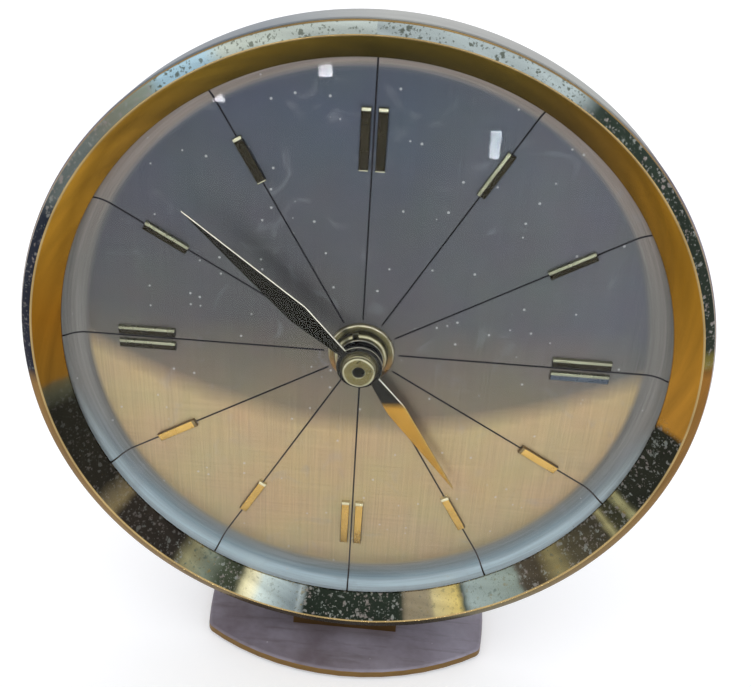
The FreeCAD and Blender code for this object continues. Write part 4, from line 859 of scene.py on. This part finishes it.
def makeHand(which, node, body):
    h = hand[which]
    back, front = h["back"], h["back"] + hand["thickness"]
    bm = bmesh.new()
    half, root, tip = h["width"] / 2, h["root"] / 2, hand["tipWidth"] / 2
    start, bend = hand["bladeStart"], hand["shoulderRound"]
    face = outlineFace(bm, [(-root, start), (-half, h["shoulder"], bend), (-tip, h["tip"]), (tip, h["tip"]),
                            (half, h["shoulder"], bend), (root, start)], lambda x, z: place(x, back, z), 6)
    moved = thicken(bm, face, (0, -(hand["thickness"] - hand["bladeDrop"]) * mm, 0))
    top = [e for e in bm.edges if all(v in moved for v in e.verts) and e.calc_length() > 0.2 * mm]
    bevelEdges(bm, top, hand["edge"], 2, clamp_overlap=True)
    # A painted highlight strip along the edge that lies uppermost
    up = math.copysign(1, -math.sin(math.radians(h["angle"])))
    strips = []
    for a, b in (((root, start), (half, h["shoulder"])), ((half, h["shoulder"]), (tip, h["tip"]))):
        along = (Vector((b[0] * up, 0, b[1])) - Vector((a[0] * up, 0, a[1]))).normalized()
        outward = Vector((along.z, 0, -along.x)) * up
        strips.append((place(a[0] * up, 0, a[1]) - outward * hand["strip"] * mm, outward))
    for spotOn, outward in strips:
        cutThrough(bm, spotOn, outward)
    for face in bm.faces:
        middle = face.calc_center_median()
        if any((middle - spotOn).dot(outward) > 0 for spotOn, outward in strips):
            face.material_index = 1
    turnVerts(bm, bm.verts, h["angle"])
    disc = turnedShape([(h["bore"], back), (hand["disc"], back), (hand["disc"], front, hand["edge"]),
                        (h["bore"], front)], 96, 3)
    absorb(bm, disc)
    bm.normal_update()
    # The rounded edge of the disc takes the painted highlight too
    for face in bm.faces:
        onDisc = (face.calc_center_median() - dialCentre).xz.length < (hand["disc"] + 0.05) * mm
        if abs(face.normal.y) < hand["topSlope"] and onDisc:
            face.material_index = 1
    keepPiece(which + "Hand", bm, node, body, extraMaterials=["hand_highlight_edge"])


handNut = {"foot": 4.6, "radius": 3.95, "back": 7.4, "footEdge": 0.25, "footTop": 7.9, "neckRound": 0.15,
           "front": 9.8, "groove": 0.3, "smallRound": 0.1, "chamfer": 0.35, "hole": 1.4, "tube": 2.15,
           "tubeTop": 9.0}


def makeHandNut():
    n = handNut
    middle = (n["footTop"] + n["front"]) / 2
    keepPiece("handNut", turnedShape([
        (n["tube"], n["back"]), (n["foot"], n["back"]), (n["foot"], n["back"] + n["footEdge"], n["smallRound"]),
        (n["radius"], n["footTop"], n["neckRound"]), (n["radius"], middle - n["groove"]),
        (n["radius"] - n["groove"], middle, n["smallRound"]), (n["radius"], middle + n["groove"]),
        (n["radius"], n["front"], n["chamfer"]), (n["hole"], n["front"], n["chamfer"]),
        (n["hole"], n["tubeTop"]), (n["tube"], n["tubeTop"])], 96, 4), "hand_nut", "minute_group")


case = {"radius": 80.7, "front": 12.4, "bandBack": 1.4, "backRadius": 70.515, "back": -22.0, "wall": 1.2,
        "bandRound": 10.0, "bandInnerRound": 8.0, "backRound": 5.0, "frontRound": 0.25, "opening": 57.015}


def makeCase():
    c = case
    w = c["wall"]
    keepPiece("caseShell", turnedShape([
        (c["radius"], c["front"], c["frontRound"]), (c["radius"], c["bandBack"], c["bandRound"]),
        (c["backRadius"], c["back"], c["backRound"]), (c["opening"], c["back"]), (c["opening"], c["back"] + w),
        (c["backRadius"] - w, c["back"] + w, c["backRound"] - w),
        (c["radius"] - w, c["bandBack"], c["bandInnerRound"]),
        (c["radius"] - w, c["front"])], 260, 8), "case_shell")


footPlate = {"front": 24.4, "back": -40.4, "endArc": 68.0, "halfWidth": 40.2, "sideArc": 131.0,
             "corner": 3.0, "edge": 0.9, "parts": 14, "sideSlope": 0.55}


# Where the end arc and the side arc cross, measured from the middle of the plate
def footCorner():
    f = footPlate
    halfDepth = (f["front"] - f["back"]) / 2
    endCentre, sideCentre = halfDepth - f["endArc"], f["halfWidth"] - f["sideArc"]
    x = f["halfWidth"]
    for _ in range(40):
        y = endCentre + math.sqrt(f["endArc"] ** 2 - x ** 2)
        x = sideCentre + math.sqrt(f["sideArc"] ** 2 - y ** 2)
    return x, y, endCentre, sideCentre


def makeFootPlate():
    f = footPlate
    low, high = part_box("foot_plate")
    middle = (low + high) / 2
    x, y, endCentre, sideCentre = footCorner()
    endTurn, sideTurn = math.asin(x / f["endArc"]), math.asin(y / f["sideArc"])
    share = [i / f["parts"] for i in range(f["parts"])]
    quarterEnd = [(f["endArc"] * math.sin(endTurn * (2 * s - 1)),
                   endCentre + f["endArc"] * math.cos(endTurn * (2 * s - 1))) for s in share]
    quarterSide = [(sideCentre + f["sideArc"] * math.cos(sideTurn * (1 - 2 * s)),
                    f["sideArc"] * math.sin(sideTurn * (1 - 2 * s))) for s in share]
    outline = quarterEnd + quarterSide
    outline += [(-u, -v) for u, v in outline]
    bm = bmesh.new()
    corners = [(u, v, f["corner"]) if i % f["parts"] == 0 else (u, v) for i, (u, v) in enumerate(outline)]
    face = outlineFace(bm, corners, lambda u, v: Vector((middle.x + u * mm, middle.y - v * mm, low.z)), 6)
    thicken(bm, face, (0, 0, high.z - low.z))
    top = [e for e in bm.edges if all(v.co.z > high.z - 0.01 * mm for v in e.verts)]
    bevelEdges(bm, top, f["edge"], 4)
    bm.normal_update()
    for side in bm.faces:
        if abs(side.normal.z) < f["sideSlope"]:
            side.material_index = 1
    keepPiece("footPlate", bm, "foot_plate", extraMaterials=["aged_brass"])


makeBezel()
makeGlassDome()
makeDialDish()
makeDialLines()
makeHourBars()
makeHub()
makeHand("hour", "hour_hand", "hour_group")
makeHand("minute", "minute_hand", "minute_group")
makeHandNut()
makeCase()
makeFootPlate()
print("pieces done")


stage = {"size": 12.0, "floor": (0.8, 0.8, 0.8), "glow": 0.3, "sky": (0.86, 0.88, 0.92),
         "low": (0.55, 0.53, 0.52), "worldLight": 1.02, "skyGrowth": 0.9, "skyStart": 0.25}


# What the camera, reflections and the glass see directly, as against what falls on the object as light
def seenDirectly(tree):
    light = tree.nodes.new("ShaderNodeLightPath").outputs
    mirrored = calc(tree, "MAXIMUM", light["Is Glossy Ray"], light["Is Transmission Ray"])
    return calc(tree, "MAXIMUM", light["Is Camera Ray"], mirrored)


def makeFloor():
    bm = bmesh.new()
    bmesh.ops.create_grid(bm, x_segments=1, y_segments=1, size=stage["size"] / 2)
    mesh = meshFrom("floor", bm)
    floor = linked("floor", mesh)
    material, tree, shader, where = newMaterial("paleFloor")
    feed(tree, shader, Base_Color=stage["floor"], Roughness=0.9, Specular_IOR_Level=0.1,
         Emission_Color=(1, 1, 1), Emission_Strength=calc(tree, "MULTIPLY", seenDirectly(tree), stage["glow"]))
    mesh.materials.append(material)


def makeWorld():
    world = bpy.data.worlds.new("studio")
    world.use_nodes = True
    bpy.context.scene.world = world
    tree = world.node_tree
    back = tree.nodes["Background"]
    where = tree.nodes.new("ShaderNodeTexCoord").outputs["Generated"]
    up = addNode(tree, "ShaderNodeSeparateXYZ", {0: where}).outputs["Z"]
    rise = calc(tree, "ADD", calc(tree, "MULTIPLY", up, stage["skyGrowth"]), stage["skyStart"], True)
    color = blendColor(tree, rise, stage["low"], stage["sky"])
    seen = seenDirectly(tree)
    tree.links.new(blendColor(tree, seen, color, (1, 1, 1)), back.inputs["Color"])
    tree.links.new(blendValue(tree, seen, stage["worldLight"], 1.0), back.inputs["Strength"])


lamps = [
    {"name": "keyLamp", "at": (-1.0, -1.1, 1.9), "size": 2.4, "power": 9.0, "color": (1.0, 0.98, 0.95)},
    {"name": "fillLamp", "at": (1.5, -1.0, 1.2), "size": 2.4, "power": 5.5, "color": (0.93, 0.96, 1.0)},
    {"name": "backLamp", "at": (0.2, 1.4, 1.4), "size": 1.6, "power": 6.0},
    # Small ones that only leave bright marks on the glass
    {"name": "topGlint", "at": (-0.165, -1.205, 0.204), "size": 0.032, "tall": 0.044, "power": 0.45},
    {"name": "rightGlint", "at": (0.244, -1.193, 0.051), "size": 0.024, "tall": 0.065, "power": 0.45,
     "color": (0.85, 0.97, 1.0)},
    {"name": "leftGlint", "at": (-0.42, -1.152, 0.119), "size": 0.046, "tall": 0.022, "power": 0.32},
]


def makeLamps():
    for lamp in lamps:
        data = bpy.data.lights.new(lamp["name"], "AREA")
        data.size = lamp["size"]
        if "tall" in lamp:
            data.shape = "RECTANGLE"
            data.size_y = lamp["tall"]
        data.energy = lamp["power"]
        data.color = lamp.get("color", (1, 1, 1))
        made = linked(lamp["name"], data)
        made.location = lamp["at"]
        aim = dialCentre - made.location
        made.rotation_euler = aim.to_track_quat("-Z", "Y").to_euler()


# Camera, solved from the photograph: its place from the dial centre, and the way it looks
camera = {"fromCentre": (7.62, 193.64, 110.43), "right": (0.9954, 0.0881, 0.0384),
          "down": (0.0772, -0.4946, -0.8657), "ahead": (-0.0573, 0.8647, -0.4991), "lens": 43.14,
          "sensor": 36.0, "shiftX": 0.0469, "shiftY": 0.0147}


def makeCamera():
    data = bpy.data.cameras.new("photoCamera")
    data.lens = camera["lens"]
    data.sensor_width = camera["sensor"]
    data.sensor_fit = "HORIZONTAL"
    data.shift_x = camera["shiftX"]
    data.shift_y = camera["shiftY"]
    data.clip_start = 0.01
    made = linked("photoCamera", data)
    turn = Matrix((Vector(camera["right"]), -Vector(camera["down"]), -Vector(camera["ahead"]))).transposed()
    made.matrix_world = Matrix.Translation(place(*camera["fromCentre"])) @ turn.to_4x4()
    bpy.context.scene.camera = made


makeFloor()
makeWorld()
makeLamps()
makeCamera()
bpy.context.scene.view_settings.view_transform = "Standard"
print("stage done")
